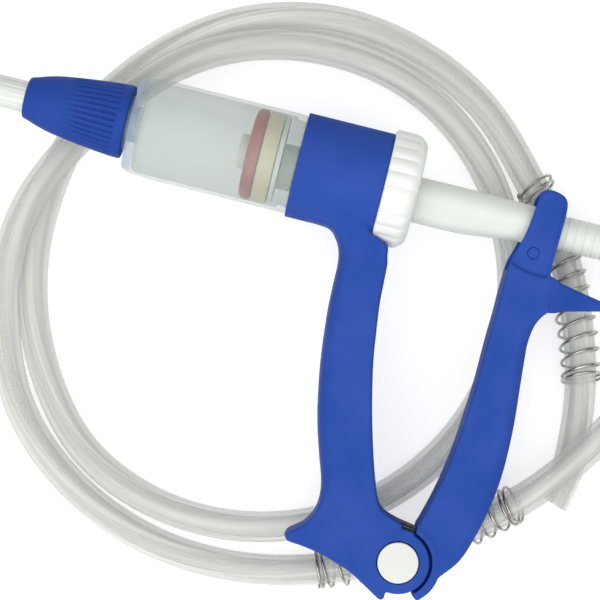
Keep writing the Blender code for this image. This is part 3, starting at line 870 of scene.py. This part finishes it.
def moulded(name, dark, light, rough=(0.38, 0.5), patch=45.0, grain=1500.0, tall=0.012, edge=0.0, stretch=(1, 1, 1)):
    """Moulded plastic: faint cloudy colour, satin grain, flow marks, and edges rubbed a little lighter."""
    p = Paint(name, stretch)
    base = p.ramp(p.noise(patch, 4.0), [(0.3, dark), (0.7, light)])
    if edge:
        shape = p.add("ShaderNodeNewGeometry").outputs["Pointiness"]
        worn = p.maths("MULTIPLY", p.span(shape, 0.51, 0.6, 0.0, edge), p.noise(220.0, 3.0))
        pale = tuple(min(1.0, c * 1.6 + 0.03) for c in light)
        base = p.mix("MIX", worn, base, pale)
    fine = p.noise(grain, 3.0)
    p.colour(base)
    p.rough(p.span(p.noise(grain * 0.3, 3.0), 0.3, 0.7, *rough))
    p.bump([(p.noise(180.0, 2.0), tall * 3), (fine, tall)])
    return p


blue = moulded("blue_plastic", (0.021, 0.063, 0.315), (0.031, 0.078, 0.36), (0.46, 0.58), edge=0.2)
nut_blue = moulded("nut_blue", (0.016, 0.053, 0.28), (0.024, 0.067, 0.325), (0.46, 0.58), edge=0.2)
nut_blue.shader.inputs["Specular IOR Level"].default_value = 0.05
blue.shader.inputs["Specular IOR Level"].default_value = 0.025
white = moulded("white_plastic", (0.74, 0.77, 0.735), (0.81, 0.83, 0.795), (0.36, 0.48), tall=0.006)
white.set(Subsurface_Weight=0.25, Subsurface_Radius=(1.0, 0.9, 0.8), Subsurface_Scale=0.001)
rod_white = moulded("rod_white", (0.63, 0.67, 0.615), (0.69, 0.725, 0.67), (0.36, 0.48), tall=0.005)
rod_white.set(Subsurface_Weight=0.25, Subsurface_Radius=(1.0, 0.9, 0.8), Subsurface_Scale=0.001)
cap_white = moulded("cap_white", (0.635, 0.66, 0.62), (0.66, 0.685, 0.64), (0.3, 0.36), tall=0.0012)
cap_white.set(Subsurface_Weight=0.25, Subsurface_Radius=(1.0, 0.9, 0.8), Subsurface_Scale=0.001)

milky = Paint("milky_nozzle", (0.05, 1.0, 1.0))
milky.colour(milky.ramp(milky.noise(900.0, 3.0), [(0.35, (0.56, 0.59, 0.55)), (0.62, (0.72, 0.74, 0.71))]))
milky.rough(milky.span(milky.noise(700.0), 0.3, 0.7, 0.22, 0.4))
milky.bump([(milky.noise(1100.0, 2.0), 0.03)])
milky.set(Subsurface_Weight=0.2, Subsurface_Radius=(1.0, 1.0, 0.9), Subsurface_Scale=0.002)

red = moulded("red_seal", (0.40, 0.02, 0.02), (0.52, 0.04, 0.04), (0.4, 0.55), tall=0.01)
cream = moulded("cream_piston", (0.70, 0.60, 0.40), (0.84, 0.74, 0.54), (0.35, 0.5), tall=0.008)
rubber = moulded("black_seal", (0.012, 0.012, 0.013), (0.03, 0.03, 0.032), (0.6, 0.8), tall=0.01)

steel = Paint("spring_steel")
steel.colour(steel.ramp(steel.noise(420.0, 4.0), [(0.3, (0.27, 0.25, 0.215)), (0.55, (0.47, 0.45, 0.405)), (0.75, (0.66, 0.64, 0.59))]))
steel.rough(steel.span(steel.noise(900.0), 0.3, 0.7, 0.2, 0.42))
steel.bump([(steel.noise(3500.0, 2.0), 0.004)])
steel.set(Metallic=1.0)

dull_steel = Paint("dull_spring_steel")
dull_steel.colour(dull_steel.ramp(dull_steel.noise(900.0, 4.0), [(0.3, (0.085, 0.088, 0.085)), (0.7, (0.20, 0.20, 0.19))]))
dull_steel.rough(dull_steel.span(dull_steel.noise(1500.0), 0.3, 0.7, 0.5, 0.7))
dull_steel.bump([(dull_steel.noise(2600.0, 2.0), 0.01)])
dull_steel.set(Metallic=0.55)

# the barrel: frosted, seen through; a cooler strip where it nears the nut
frost = Paint("frosted_barrel", (0.2, 1.0, 1.0))
along = frost.add("ShaderNodeSeparateXYZ")
frost.link(frost.where, along.inputs["Vector"])
cool = frost.span(along.outputs["X"], -0.1352, -0.1322, 1.0, 0.0, True)
body = frost.ramp(frost.noise(160.0, 4.0), [(0.3, (0.385, 0.47, 0.435)), (0.7, (0.43, 0.51, 0.475))])
frost.colour(frost.mix("MIX", cool, body, (0.33, 0.43, 0.60)))
frost.rough(frost.span(frost.noise(900.0), 0.3, 0.7, 0.30, 0.44))
frost.bump([(frost.noise(240.0, 2.0), 0.02), (frost.noise(1800.0, 2.0), 0.004)])
veil = frost.add("ShaderNodeLayerWeight")
veil.inputs["Blend"].default_value = 0.5
frost.link(
    frost.maths("ADD", frost.span(veil.outputs["Facing"], 0.3, 1.0, 0.24, 0.33), frost.maths("MULTIPLY", cool, 0.2)),
    frost.shader.inputs["Alpha"],
)

# the hose: clear, a little grey, with drawn streaks of tone that run along it, and fine near-white lines along it that
# are a painted highlight
clear = Paint("clear_hose", (1.0, 1.0, 1.0), uv=True)


def streaks(across, down, detail=3.0):
    place = clear.add("ShaderNodeMapping")
    place.inputs["Scale"].default_value = (across, down, 1.0)
    clear.link(clear.where, place.inputs["Vector"])
    return clear.noise(1.0, detail, 0.6, place.outputs["Vector"])


broad, fine_lines = streaks(9.0, 0.42, 0.6), streaks(20.0, 0.5, 0.5)
grey = clear.ramp(broad, [(0.3, (0.48, 0.495, 0.455)), (0.5, (0.57, 0.585, 0.54)), (0.68, (0.70, 0.71, 0.665))])
# painted highlight: fine near-white lines mixed into the colour stand in for gloss streaks from the lamp along the hose
painted_highlight_lines = clear.span(fine_lines, 0.58, 0.7, 0.0, 0.6, True)
clear.colour(clear.mix("MIX", painted_highlight_lines, grey, (0.95, 0.96, 0.92)))
clear.rough(clear.span(fine_lines, 0.3, 0.7, 0.12, 0.22))
clear.bump([(broad, 0.05), (fine_lines, 0.01)])
edge = clear.add("ShaderNodeLayerWeight")
edge.inputs["Blend"].default_value = 0.5
clear.link(
    clear.maths("ADD", clear.span(edge.outputs["Facing"], 0.1, 1.0, 0.32, 0.44), clear.span(broad, 0.35, 0.65, 0.0, 0.14)),
    clear.shader.inputs["Alpha"],
)
clear.set(IOR=1.45)


def dress(obj, paint, body, slot, *nodes):
    """Gives a piece its material, its body and the CAD nodes that it stands for; slot, a finish's name, is not used."""
    obj.data.materials.clear()
    obj.data.materials.append(paint.mat)
    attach(obj, body)
    if nodes:
        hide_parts(*nodes)
    return obj


# ---------------------------------------------------------------- camera

scene = bpy.context.scene
lens = bpy.data.cameras.new("camera")
lens.lens = 159.5
lens.sensor_width = 36.0
lens.clip_start = 0.01
lens.clip_end = 20.0
camera = bpy.data.objects.new("camera", lens)
scene.collection.objects.link(camera)
camera.matrix_world = (
    GUN @ Matrix.Translation(Vector(EYE) * MM) @ Matrix.Rotation(TURN, 4, "Z") @ Matrix.Translation((0.0002, -0.0005, 0.0))
)
scene.camera = camera

# ---------------------------------------------------------------- hose and its two springs


def hose_tube(name, fr, outer, inner, n=28):
    """A hollow tube with cut ends; its UV has the turn across and the run in metres down."""
    run = [0.0]
    for a, b in zip(fr, fr[1:]):
        run.append(run[-1] + (b[0] - a[0]).length)
    def ring(i, radius):
        loop = section(fr[i], radius, n)
        pull = max(1.0 - run[i] / 12.0, 0.0) ** 1.3
        if not pull:
            return loop
        # the shown end is drawn in to one side and cut on the slant
        p, a, b = fr[i]
        on = (fr[i + 1][0] - p).normalized()
        out = []
        for v in loop:
            d = (Vector(v) - p) * (1.0 - 0.24 * pull)
            out.append(tuple(p + d - a * 1.3 * pull - on * (d.dot(a) * 0.36 * max(1.0 - run[i] / 8.0, 0.0))))
        return out

    rings = [ring(i, outer) for i in range(len(fr))] + [ring(i, inner) for i in reversed(range(len(fr)))]
    runs = run + run[::-1]
    obj = rings_object(name, rings, True, 50.0, False)
    mesh = obj.data
    sheet = mesh.uv_layers.new(name="UVMap")
    half = len(fr) * n
    for poly in mesh.polygons:
        across = [v % n for v in poly.vertices]
        wraps = max(across) - min(across) > 1
        for li, v in zip(poly.loop_indices, poly.vertices):
            k = v % n
            k = k + n if wraps and k == 0 else k
            down = runs[v // n] * MM * 10
            sheet.data[li].uv = (k / n + 0.16 * down + (0.37 if v >= half else 0.0), down)
    return obj


route, part_a, part_b = hose_path(3.0)
along_hose = frames(route)
spring_a = coil_on(
    "spring_wire_a", along_hose[part_a], 7.35, 1.1, 5.8,
    lambda s: (1.1, -1.9, 0.3 - 2.6 * min(s, 0.4) + 4.2 * max(s - 0.62, 0.0)),
)
spring_b = coil_on("spring_wire_b", along_hose[part_b], 7.3, 1.1, 5.8, lambda s: (0.4 - 1.4 * s, 0.5 * s, 0.0))
hose = hose_tube("hose_tube", along_hose, 6.0, 4.0)
dress(spring_a, steel, "gun", "spring_steel", "hose_spring_a")
dress(spring_b, steel, "gun", "spring_steel", "hose_spring_b")
dress(hose, clear, "gun", "clear_hose", "draw_off_hose")

# ---------------------------------------------------------------- frame and lever


def handle_frame():
    outline = [Vector(p) for p in to2(spline(HANDLE, 6))]
    edge = [grip_edge(p, outline) for p in outline]
    obj = rounded_prism("handle_moulding", outline, 12.0, edge, 8, 0.5)
    cut(obj, turned("t", [(-72.4, 19.2), (-72.4, 20.05), (-39.05, 20.05), (-39.05, 19.2)], 128, 0.3), "UNION")
    cut(obj, post("t", [(-12.0, 11.2), (-12.0, 11.7), (12.0, 11.7), (12.0, 11.2)], 96, size=0.35), "UNION")
    cut(obj, turned("t", [(-80, 18.5), (-39.0, 18.5), (-39.0, 22.25), (-20, 22.25)], 128, 0))
    cut(obj, post("t", [(-6.5, 12.0), (6.5, 12.0)], 96))
    cut(obj, post("t", [(-20, 4.3), (20, 4.3)], 64))
    over = [(12.55 * math.cos(math.radians(a)), 12.55 * math.sin(math.radians(a))) for a in range(74, 104, 3)]
    over += [(10.0 * math.cos(math.radians(a)), 10.0 * math.sin(math.radians(a))) for a in (104, 89, 74)]
    cut(obj, rings_object("t", [[(x, y, z) for x, y in over] for z in (6.5, 11.95)]), "UNION")
    cut(obj, post("t", [(9.4, 8.0), (20, 8.0)], 96))
    cut(obj, post("t", [(-20, 8.0), (-9.4, 8.0)], 96))
    cut(obj, bar("t", LEG_FROM, LEG_WAY, -2.0, 11.0, 1.1, 1.25, 3.55))
    mould(obj)
    return flow_neck(obj)


def flow_neck(obj, soft=5.5):
    """Fills the corner between the grip's flat sides and the round collar."""
    back = GUN.inverted()
    for v in obj.data.vertices:
        q = back @ v.co
        x, y, z = q.x / MM, q.y / MM, q.z / MM
        if not (104.0 < y < 134.0 and -71.0 < x < -30.0):
            continue
        bow = math.sqrt(max(20.05**2 - (y - AXIS) ** 2, 0.0))
        gap = max(1.0 - abs(bow - 12.0) / soft, 0.0)
        rise = gap * gap * soft / 4
        share = min(max((x + 71.0) / 9.0, 0.0), 1.0)
        share = share * share * (3 - 2 * share)
        q.z *= 1 + rise * share / max(bow, 12.0)
        v.co = GUN @ q
    obj.data.update()
    return obj


def trigger_lever():
    outline = [Vector(p) for p in to2(spline(LEVER, 6))]
    obj = rounded_prism("lever_moulding", outline, 11.5, [lever_edge(p) for p in outline], 8, 0.5)
    boss = post("t", [(-12.0, 14.2), (-11.8, 15.0), (-11.3, 16.1), (11.3, 16.1), (11.8, 15.0), (12.0, 14.2)], 96, size=0.5)
    cut(boss, block("u", (-40, -40, -20), (3.9, 40, 20)))
    cut(boss, block("u", (-40, -40, -21), (40, -8.5, 21)))
    cut(obj, boss, "UNION")
    spur = rounded_prism("t", [Vector(p) for p in to2(spline(TAIL, 5))], 11.52, 1.2, 5)
    back = GUN.inverted()
    for v in spur.data.vertices:  # thinner towards its tip
        q = back @ v.co
        t = min(max((q.x / MM - 28.0) / 25.0, 0.0), 1.0)
        q.z *= 1.0 - 0.6 * t * t * (3 - 2 * t)
        v.co = GUN @ q
    cut(obj, spur, "UNION")
    cut(obj, post("t", [(6.2, 12.8), (20, 12.8)], 96))
    cut(obj, post("t", [(-20, 12.8), (-6.2, 12.8)], 96))
    for z0, z1 in ((3.6, 6.3), (-6.3, -3.6)):
        cut(obj, post("t", [(z0, 11.2), (z1, 11.2)], 96), "UNION")
    cut(obj, post("t", [(-3.6, 12.8), (3.6, 12.8)], 96))
    cut(obj, post("t", [(-20, 5.9), (20, 5.9)], 64))
    cut(obj, block("t", (5, 116.0, -8.9), (40, 145.5, 8.9)))
    cut(obj, block("t", (-5, 8.0, 1.2), (10.4, 17.4, 3.6)))
    cut(obj, post("t", [(-20, 2.15), (20, 2.15)], 48, *PIN))
    a = math.radians(120)
    cut(obj, bar("t", (7.5 * math.cos(a), 7.5 * math.sin(a)), (math.sin(a), -math.cos(a)), 6.0, 21.0, 1.15, -3.55, -1.25))
    return thin_fork(mould(obj))


def thin_fork(obj):
    """Lowers the fork's cheeks, with a soft bowed step below them."""
    back = GUN.inverted()
    for v in obj.data.vertices:
        q = back @ v.co
        x, y, z = q.x / MM, q.y / MM, q.z / MM
        if y < 113.0 or abs(z) < 9.6 or x > 31.0:
            continue
        step = 116.3 + 0.023 * max(24.0 - x, 0.0) ** 2
        share = min(max((y - step + 0.9) / 1.8, 0.0), 1.0) * min(max((29.4 - x) / 2.0, 0.0), 1.0)
        share = share * share * (3 - 2 * share)
        level = abs(z) - 1.25 * share * min(max((abs(z) - 9.6) / 1.2, 0.0), 1.0)
        q.z = math.copysign(level, z) * MM
        v.co = GUN @ q
    obj.data.update()
    return obj


dress(handle_frame(), blue, "gun", "blue_plastic", "handle_frame")
dress(trigger_lever(), blue, "lever", "blue_plastic", "trigger_lever")

# ---------------------------------------------------------------- nose, barrel and nozzle


def nose_nut():
    flutes, per = 36, 12
    n = flutes * per

    def fluted(r, depth):
        def radius(t):
            f = (t * flutes / (2 * math.pi)) % 1.0
            d = abs(f - 0.5) / 0.5  # 0 in the groove's middle
            return r - depth * (1 - min(max((d - 0.2) / 0.2, 0.0), 1.0))
        return radius

    def smoothstep(x):
        x = min(max(x, 0.0), 1.0)
        return x * x * (3 - 2 * x)

    shape = [(-177.3, 6.9), (-177.1, 7.4), (-176.6, 7.8), (-174.0, 8.6), (-171.0, 9.6), (-166.5, 10.75), (-162.0, 11.5), (-157.5, 12.15), (-149.0, 13.2), (-142.3, 13.85)]
    rings = []
    curve = spline(shape, 4, closed=False)
    for q in curve:
        rings.append(ring_x(q[0], fluted(q[1], 0.7 * smoothstep((q[0] + 163.5) / 10.0)), n))
    rings.append(ring_x(-142.0, fluted(13.87, 0.7), n))
    rings.append(ring_x(-141.75, fluted(13.9, 0.3), n))
    for x, r in [(-141.5, 13.92), (-139.0, 14.0), (-138.3, 13.92), (-137.9, 13.7), (-137.8, 13.4), (-137.8, 10.9), (-154.6, 10.9), (-154.6, 6.5), (-176.9, 6.5)]:
        rings.append(ring_x(x, r, n))
    return rings_object("nose_nut_grooved", rings, True, 50.0)


def nozzle_tube():
    ribs, per = 24, 6
    n = ribs * per
    rings = []
    outer = [(-153.0, 6.1), (-180.0, 6.1), (-196.0, 5.75), (-212.0, 5.1), (-224.0, 4.72), (-227.2, 4.58)]
    for q in reversed(spline(outer, 6, closed=False)):
        depth = 0.14 * min(max((q[0] + 227.0) / 4.0, 0.0), 1.0)
        rings.append(ring_x(q[0], lambda t, r=q[1], d=depth: r - d * (0.5 - 0.5 * math.cos(ribs * t)), n))
    for x, r in [(-154.0, 6.1), (-154.0, 9.4), (-153.9, 9.5), (-151.9, 9.5), (-151.8, 9.4), (-151.8, 2.8), (-227.7, 2.8), (-228.0, 3.0), (-228.0, 4.0), (-227.8, 4.35)]:
        rings.append(ring_x(x, r, n))
    return rings_object("nozzle_ribbed", rings, True, 40.0)


def barrel():
    profile = [
        (-150.0, 10.3), (-149.6, 10.5), (-136.2, 10.5, 0.4), (-136.2, 16.8, 0.0), (-135.7, 17.2, 0.0),
        (-134.8, 17.65, 0.0), (-133.5, 18.05, 0.0), (-131.5, 18.4, 0.0), (-129.0, 18.65, 0.0), (-125.5, 18.87, 0.0),
        (-121.0, 18.95, 0.0), (-72.8, 18.95, 0.1), (-72.8, 18.2, 0.3), (-41.0, 18.2), (-41.0, 16.5),
        (-75.6, 16.5, 0.3), (-76.6, 17.6, 0.3),
        (-131.0, 17.6, 0.0), (-132.1, 17.0, 0.0), (-132.5, 16.2, 0.0), (-132.5, 7.0), (-150.0, 7.0),
    ]
    return lathe("barrel_frosted", profile, 160, 0.25, 40.0)


dress(nose_nut(), nut_blue, "gun", "blue_plastic", "nose_nut")
dress(nozzle_tube(), milky, "gun", "milky_nozzle", "nozzle_tube")
dress(barrel(), frost, "gun", "frosted_barrel", "barrel")
dress(lathe("nose_seal_ring", [(-151.5, 9.3), (-151.5, 7.3), (-150.3, 7.3), (-150.3, 9.3)], 64, 0.3), rubber, "gun", "black_seal", "nozzle_seal")
dress(lathe("outlet_valve_seat", [(-137.4, 6.7), (-137.4, 3.0), (-134.4, 3.0), (-134.4, 6.7)], 64), white, "gun", "white_plastic", "delivery_valve_seat")
dress(
    turned("outlet_valve_plug", [(-146.0, 1.0), (-145.6, 1.3), (-139.9, 1.3), (-139.9, 4.4), (-137.9, 4.4), (-137.6, 4.1)], 64),
    white, "delivery_valve", "white_plastic", "delivery_valve_poppet",
)
outlet_coil = coil_x("outlet_valve_coil", -151.4, -140.2, 3.7, 0.6, 4.5)
dress(outlet_coil, steel, "gun", "spring_steel", "delivery_valve_spring")
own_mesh(outlet_coil)


# ---------------------------------------------------------------- rear nut and rod


def rear_cap_nut():
    scallops, per = 24, 14
    n = scallops * per

    def scalloped(r, depth):
        # broad round ribs with narrow valleys between them
        return lambda t: r - 0.6 * depth * (1 - abs(math.sin(scallops * t / 2)) ** 0.85)

    hole = egg(7.05, 5.6, 11.05)
    rings = [ring_x(x, scalloped(r, d), n) for x, r, d in [
        (-39.0, 20.9, 0.6),
        (-38.8, 21.45, 0.9),
        (-38.4, 21.85, 1.15),
        (-37.8, 21.95, 1.2),
        (-34.0, 21.95, 1.2),
        (-30.6, 21.9, 1.15),
        (-29.4, 21.55, 1.05),
        (-28.3, 20.9, 0.8),
        (-27.4, 20.1, 0.5),
        (-26.7, 19.2, 0.25),
        (-26.3, 18.4, 0.1),
        (-26.1, 17.4, 0.0),
    ]]
    rings += [ring_x(-26.1, lambda t: hole(t) + 0.3, n), ring_x(-26.3, hole, n), ring_x(-31.4, hole, n), ring_x(-31.4, 15.8, n), ring_x(-39.0, 15.8, n)]
    return rings_object("rear_nut_scalloped", rings, True, 50.0)


def egg_ring(name, x0, x1, outer, top, low_r, low, n=128, lip=0.2):
    hole = egg(top, low_r, low)
    rings = [
        ring_x(x0, outer - lip, n), ring_x(x0 + lip, outer, n), ring_x(x1 - lip, outer, n), ring_x(x1, outer - lip, n),
        ring_x(x1, lambda t: hole(t) + lip, n), ring_x(x1 - lip, hole, n), ring_x(x0 + lip, hole, n), ring_x(x0, lambda t: hole(t) + lip, n),
    ]
    return rings_object(name, rings, True, 40.0)


def piston_rod():
    n = 112
    stations = [
        (-78.1, 6.45, 4.7, 10.4),
        (-77.8, 6.7, 5.0, 10.65),
        (-77.3, 6.75, 5.0, 10.7),
        (-50.0, 6.75, 5.0, 10.7),
        (-13.5, 6.75, 5.0, 10.7),
        (-6.0, 6.74, 5.0, 10.45),
        (4.5, 6.7, 5.0, 9.2),
        (9.0, 6.62, 5.3, 8.6),
        (12.0, 6.55, 5.6, 8.3),
        (18.0, 6.5, 5.8, 7.9),
        (18.9, 6.2, 5.8, 7.5),
    ]
    rings = [ring_x(x, egg(a, b, c), n) for x, a, b, c in stations]
    rings += [ring_x(18.9, 5.6, n), ring_x(28.0, 5.6, n), ring_x(28.0, 6.1, n, AXIS - 0.9), ring_x(28.25, 6.42, n, AXIS - 0.9)]
    x = 28.4
    while x < 56.0:
        for dx, r in ((0.0, 6.45), (1.4, 6.47), (2.75, 6.45), (2.95, 6.36), (3.1, 6.2), (3.35, 6.2), (3.5, 6.36)):
            rings.append(ring_x(x + dx, r, n, AXIS - 0.9))
        x += 3.6
    rings += [ring_x(59.6, 6.45, n, AXIS - 0.9), ring_x(59.9, 6.35, n, AXIS - 0.9), ring_x(60.0, 6.1, n, AXIS - 0.9)]
    rings += [ring_x(60.0, 4.4, n), ring_x(44.0, 4.4, n), ring_x(44.0, 3.2, n), ring_x(-78.1, 3.2, n)]
    return rings_object("rod_grooved", rings, True, 40.0)


def rod_yoke():
    obj = turned("yoke_moulding", [(19.2, 7.2), (19.2, 8.1), (27.5, 8.3), (27.5, 7.6)], 96, 0.4)
    lug = []
    for k in range(25):
        a = math.pi + math.pi * k / 24
        lug.append(Vector((PIN[0] + 0.6 + 5.0 * math.cos(a), PIN[1] + 0.4 + 5.4 * math.sin(a))))
    lug += [Vector((27.2, 130.4)), Vector((27.2, 135.2)), Vector((19.6, 135.2)), Vector((18.9, 130.4))]
    cut(obj, rounded_prism("t", lug, 8.3, 0.8, 4), "UNION")
    cut(obj, turned("t", [(0, 5.9), (40, 5.9)], 96))
    slot = []
    for k in range(17):
        a = math.pi + math.pi * k / 16
        slot.append((PIN[0] + 2.45 * math.cos(a), PIN[1] + 2.45 * math.sin(a)))
    for k in range(17):
        a = math.pi * k / 16
        slot.append((PIN[0] + 2.45 * math.cos(a), PIN[1] + 2.0 + 2.45 * math.sin(a)))
    cut(obj, rings_object("t", [[(x, y, -20) for x, y in slot], [(x, y, 20) for x, y in slot]]))
    return mould(obj, 0.3, 3)


dress(rear_cap_nut(), white, "gun", "white_plastic", "rear_cap_nut")
dress(egg_ring("rod_guide", -38.7, -31.7, 15.5, 7.0, 5.3, 11.0), white, "gun", "white_plastic", "rod_guide_bush")
dress(egg_ring("rear_wiper", -45.0, -41.3, 16.2, 7.05, 5.3, 11.0), rubber, "gun", "black_seal", "barrel_rear_seal")
dress(piston_rod(), rod_white, "rod", "white_plastic", "piston_rod")
dress(rod_yoke(), white, "rod", "white_plastic", "rod_yoke")

# ---------------------------------------------------------------- piston

dress(
    lathe("piston_nose", [(-94.8, 6.2), (-94.8, 3.2), (-91.8, 3.2), (-91.8, 6.6), (-94.2, 6.6)], 96),
    white, "rod", "white_plastic", "piston_front",
)
dress(
    lathe(
        "piston_seal_lip",
        [(-91.5, 3.2), (-86.8, 3.2), (-86.8, 16.4, 0.5), (-87.2, 17.3, 0.3), (-88.2, 17.45, 0.3), (-89.6, 17.3, 0.5), (-90.9, 16.3, 0.6), (-91.5, 14.5, 0.6)],
        128,
    ),
    red, "rod", "red_seal", "piston_seal",
)
dress(
    lathe("piston_disc", [(-86.5, 3.2), (-80.5, 3.2), (-80.5, 17.0), (-80.8, 17.3), (-86.2, 17.3), (-86.5, 17.0)], 128),
    cream, "rod", "cream_piston", "piston_body",
)
dress(lathe("piston_washer", [(-80.2, 3.2), (-78.4, 3.2), (-78.4, 16.8), (-80.2, 16.8)], 128), white, "rod", "white_plastic", "piston_backing")
dress(lathe("inlet_cage", [(44.3, 4.1), (44.3, 2.0), (46.2, 2.0), (46.2, 4.1)], 64), white, "rod", "white_plastic", "inlet_valve_cage")
inlet_coil = coil_x("inlet_coil", 46.4, 52.6, 2.7, 0.5, 4.0)
dress(inlet_coil, steel, "rod", "spring_steel", "inlet_valve_spring")
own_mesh(inlet_coil)
dress(
    turned("inlet_plug", [(45.2, 0.9), (45.5, 1.2), (52.9, 1.2), (52.9, 3.3), (54.2, 3.3), (54.5, 3.0)], 64),
    white, "inlet_valve", "white_plastic", "inlet_valve_poppet",
)
dress(
    lathe(
        "inlet_barbed",
        [
            (54.8, 4.1), (54.8, 1.8), (82.0, 1.8), (82.0, 3.0), (78.5, 4.3), (78.5, 3.3), (75.0, 4.3), (75.0, 3.3),
            (71.5, 4.3), (71.5, 3.3), (62.8, 3.3, 0.6), (62.8, 6.0, 0.35), (60.3, 6.0, 0.35), (60.3, 4.1),
        ],
        96,
        0.15,
    ),
    white, "rod", "white_plastic", "inlet_spigot",
)

# ---------------------------------------------------------------- pivot

dress(post("pivot_axle", [(-12.4, 7.0), (-12.4, 7.65), (-9.7, 7.65), (-9.7, 4.0), (9.2, 4.0)], 96, size=0.3), white, "gun", "white_plastic", "pivot_pin")
dress(post("pivot_button", [(9.7, 7.65), (CAP_TOP, 7.65, 0.45), (CAP_TOP, 6.4)], 128, size=0.45), cap_white, "gun", "white_plastic", "pivot_cap")
dress(post("lever_axle", [(-10.6, 1.6), (-10.6, 2.05), (10.6, 2.05), (10.6, 1.6)], 64, *PIN, size=0.3), blue, "lever", "blue_plastic", "lever_pin")
dress(post_ring("pivot_bushing", [(-6.1, 4.3), (-6.1, 5.6), (6.1, 5.6), (6.1, 4.3)], 64), white, "lever", "white_plastic", "pivot_bush")


def return_spring():
    mean, thick = 7.5, 1.5
    a0, a1 = math.radians(120), math.radians(1050)
    lead = Vector((math.sin(a0), -math.cos(a0), 0.0))
    start = Vector((mean * math.cos(a0), mean * math.sin(a0), -2.4))
    leg = [start + lead * t for t in (20.0, 17.0, 14.0, 11.0, 8.0, 5.0, 2.5, 0.0)]
    dress(wire("torsion_leg_lever", leg, thick / 2, 12), dull_steel, "lever", "spring_steel")
    path = []
    steps = 144
    for k in range(steps + 1):
        a = a0 + (a1 - a0) * k / steps
        path.append(Vector((mean * math.cos(a), mean * math.sin(a), -2.4 + 4.8 * k / steps)))
    path += [Vector((p.x, p.y, 2.4)) for p in spline(LEG, 4, closed=False)]
    return wire("torsion_coil", path, thick / 2, 12)


fold = [(5.0, 11.7), (4.2, 12.35), (2.6, 12.65), (0.6, 12.85), (-1.6, 13.2)]
dress(wire("torsion_leg_fold", [Vector((p.x, p.y, 2.4)) for p in spline(fold, 4, closed=False)], 0.75, 12), dull_steel, "gun", "spring_steel")
dress(return_spring(), dull_steel, "gun", "spring_steel", "return_spring")

# ---------------------------------------------------------------- floor and light

floor_mesh = bpy.data.meshes.new("floor")
floor_mesh.from_pydata([(-4, -4, FLOOR), (4, -4, FLOOR), (4, 4, FLOOR), (-4, 4, FLOOR)], [], [(0, 1, 2, 3)])
floor = bpy.data.objects.new("floor", floor_mesh)
scene.collection.objects.link(floor)
pale = Paint("floor_pale")
pale.colour(pale.ramp(pale.noise(6.0), [(0.3, (0.50, 0.50, 0.50)), (0.7, (0.53, 0.53, 0.53))]))
pale.set(Roughness=0.9, Emission_Color=(1.0, 1.0, 1.0, 1.0), Emission_Strength=0.6)
pale.shader.inputs["Specular IOR Level"].default_value = 0.1
floor_mesh.materials.append(pale.mat)

world = bpy.data.worlds.new("studio")
world.use_nodes = True
sky = world.node_tree
sky_where = sky.nodes.new("ShaderNodeTexCoord")
sky_lean = sky.nodes.new("ShaderNodeVectorMath")
sky_lean.operation = "DOT_PRODUCT"
sky_lean.inputs[1].default_value = (-0.03, -0.25, 0.968)
sky.links.new(sky_where.outputs["Generated"], sky_lean.inputs[0])
sky_band = sky.nodes.new("ShaderNodeValToRGB")
sky_band.color_ramp.interpolation = "EASE"
sky_band.color_ramp.elements[0].position = 0.32
sky_band.color_ramp.elements[0].color = (0.09, 0.09, 0.09, 1.0)
sky_band.color_ramp.elements[1].position = 0.95
sky_band.color_ramp.elements[1].color = (1.0, 1.0, 1.0, 1.0)
sky.links.new(sky_lean.outputs["Value"], sky_band.inputs["Fac"])
sky.links.new(sky_band.outputs["Color"], sky.nodes["Background"].inputs["Color"])
sky.nodes["Background"].inputs["Strength"].default_value = 1.95
scene.world = world


def softbox(name, place, aim, size, power):
    light = bpy.data.lights.new(name, "AREA")
    light.shape = "DISK"
    light.size = size
    light.energy = power
    obj = bpy.data.objects.new(name, light)
    scene.collection.objects.link(obj)
    obj.location = place
    obj.rotation_mode = "QUATERNION"
    obj.rotation_quaternion = (Vector(aim) - Vector(place)).to_track_quat("-Z", "Y")


softbox("key", (-0.10, -0.45, 1.15), (-0.05, 0.08, -0.03), 0.8, 2.0)

scene.view_settings.view_transform = "Standard"
scene.view_settings.look = "None"
scene.cycles.transparent_max_bounces = 32
scene.cycles.transmission_bounces = 24
scene.cycles.max_bounces = 24
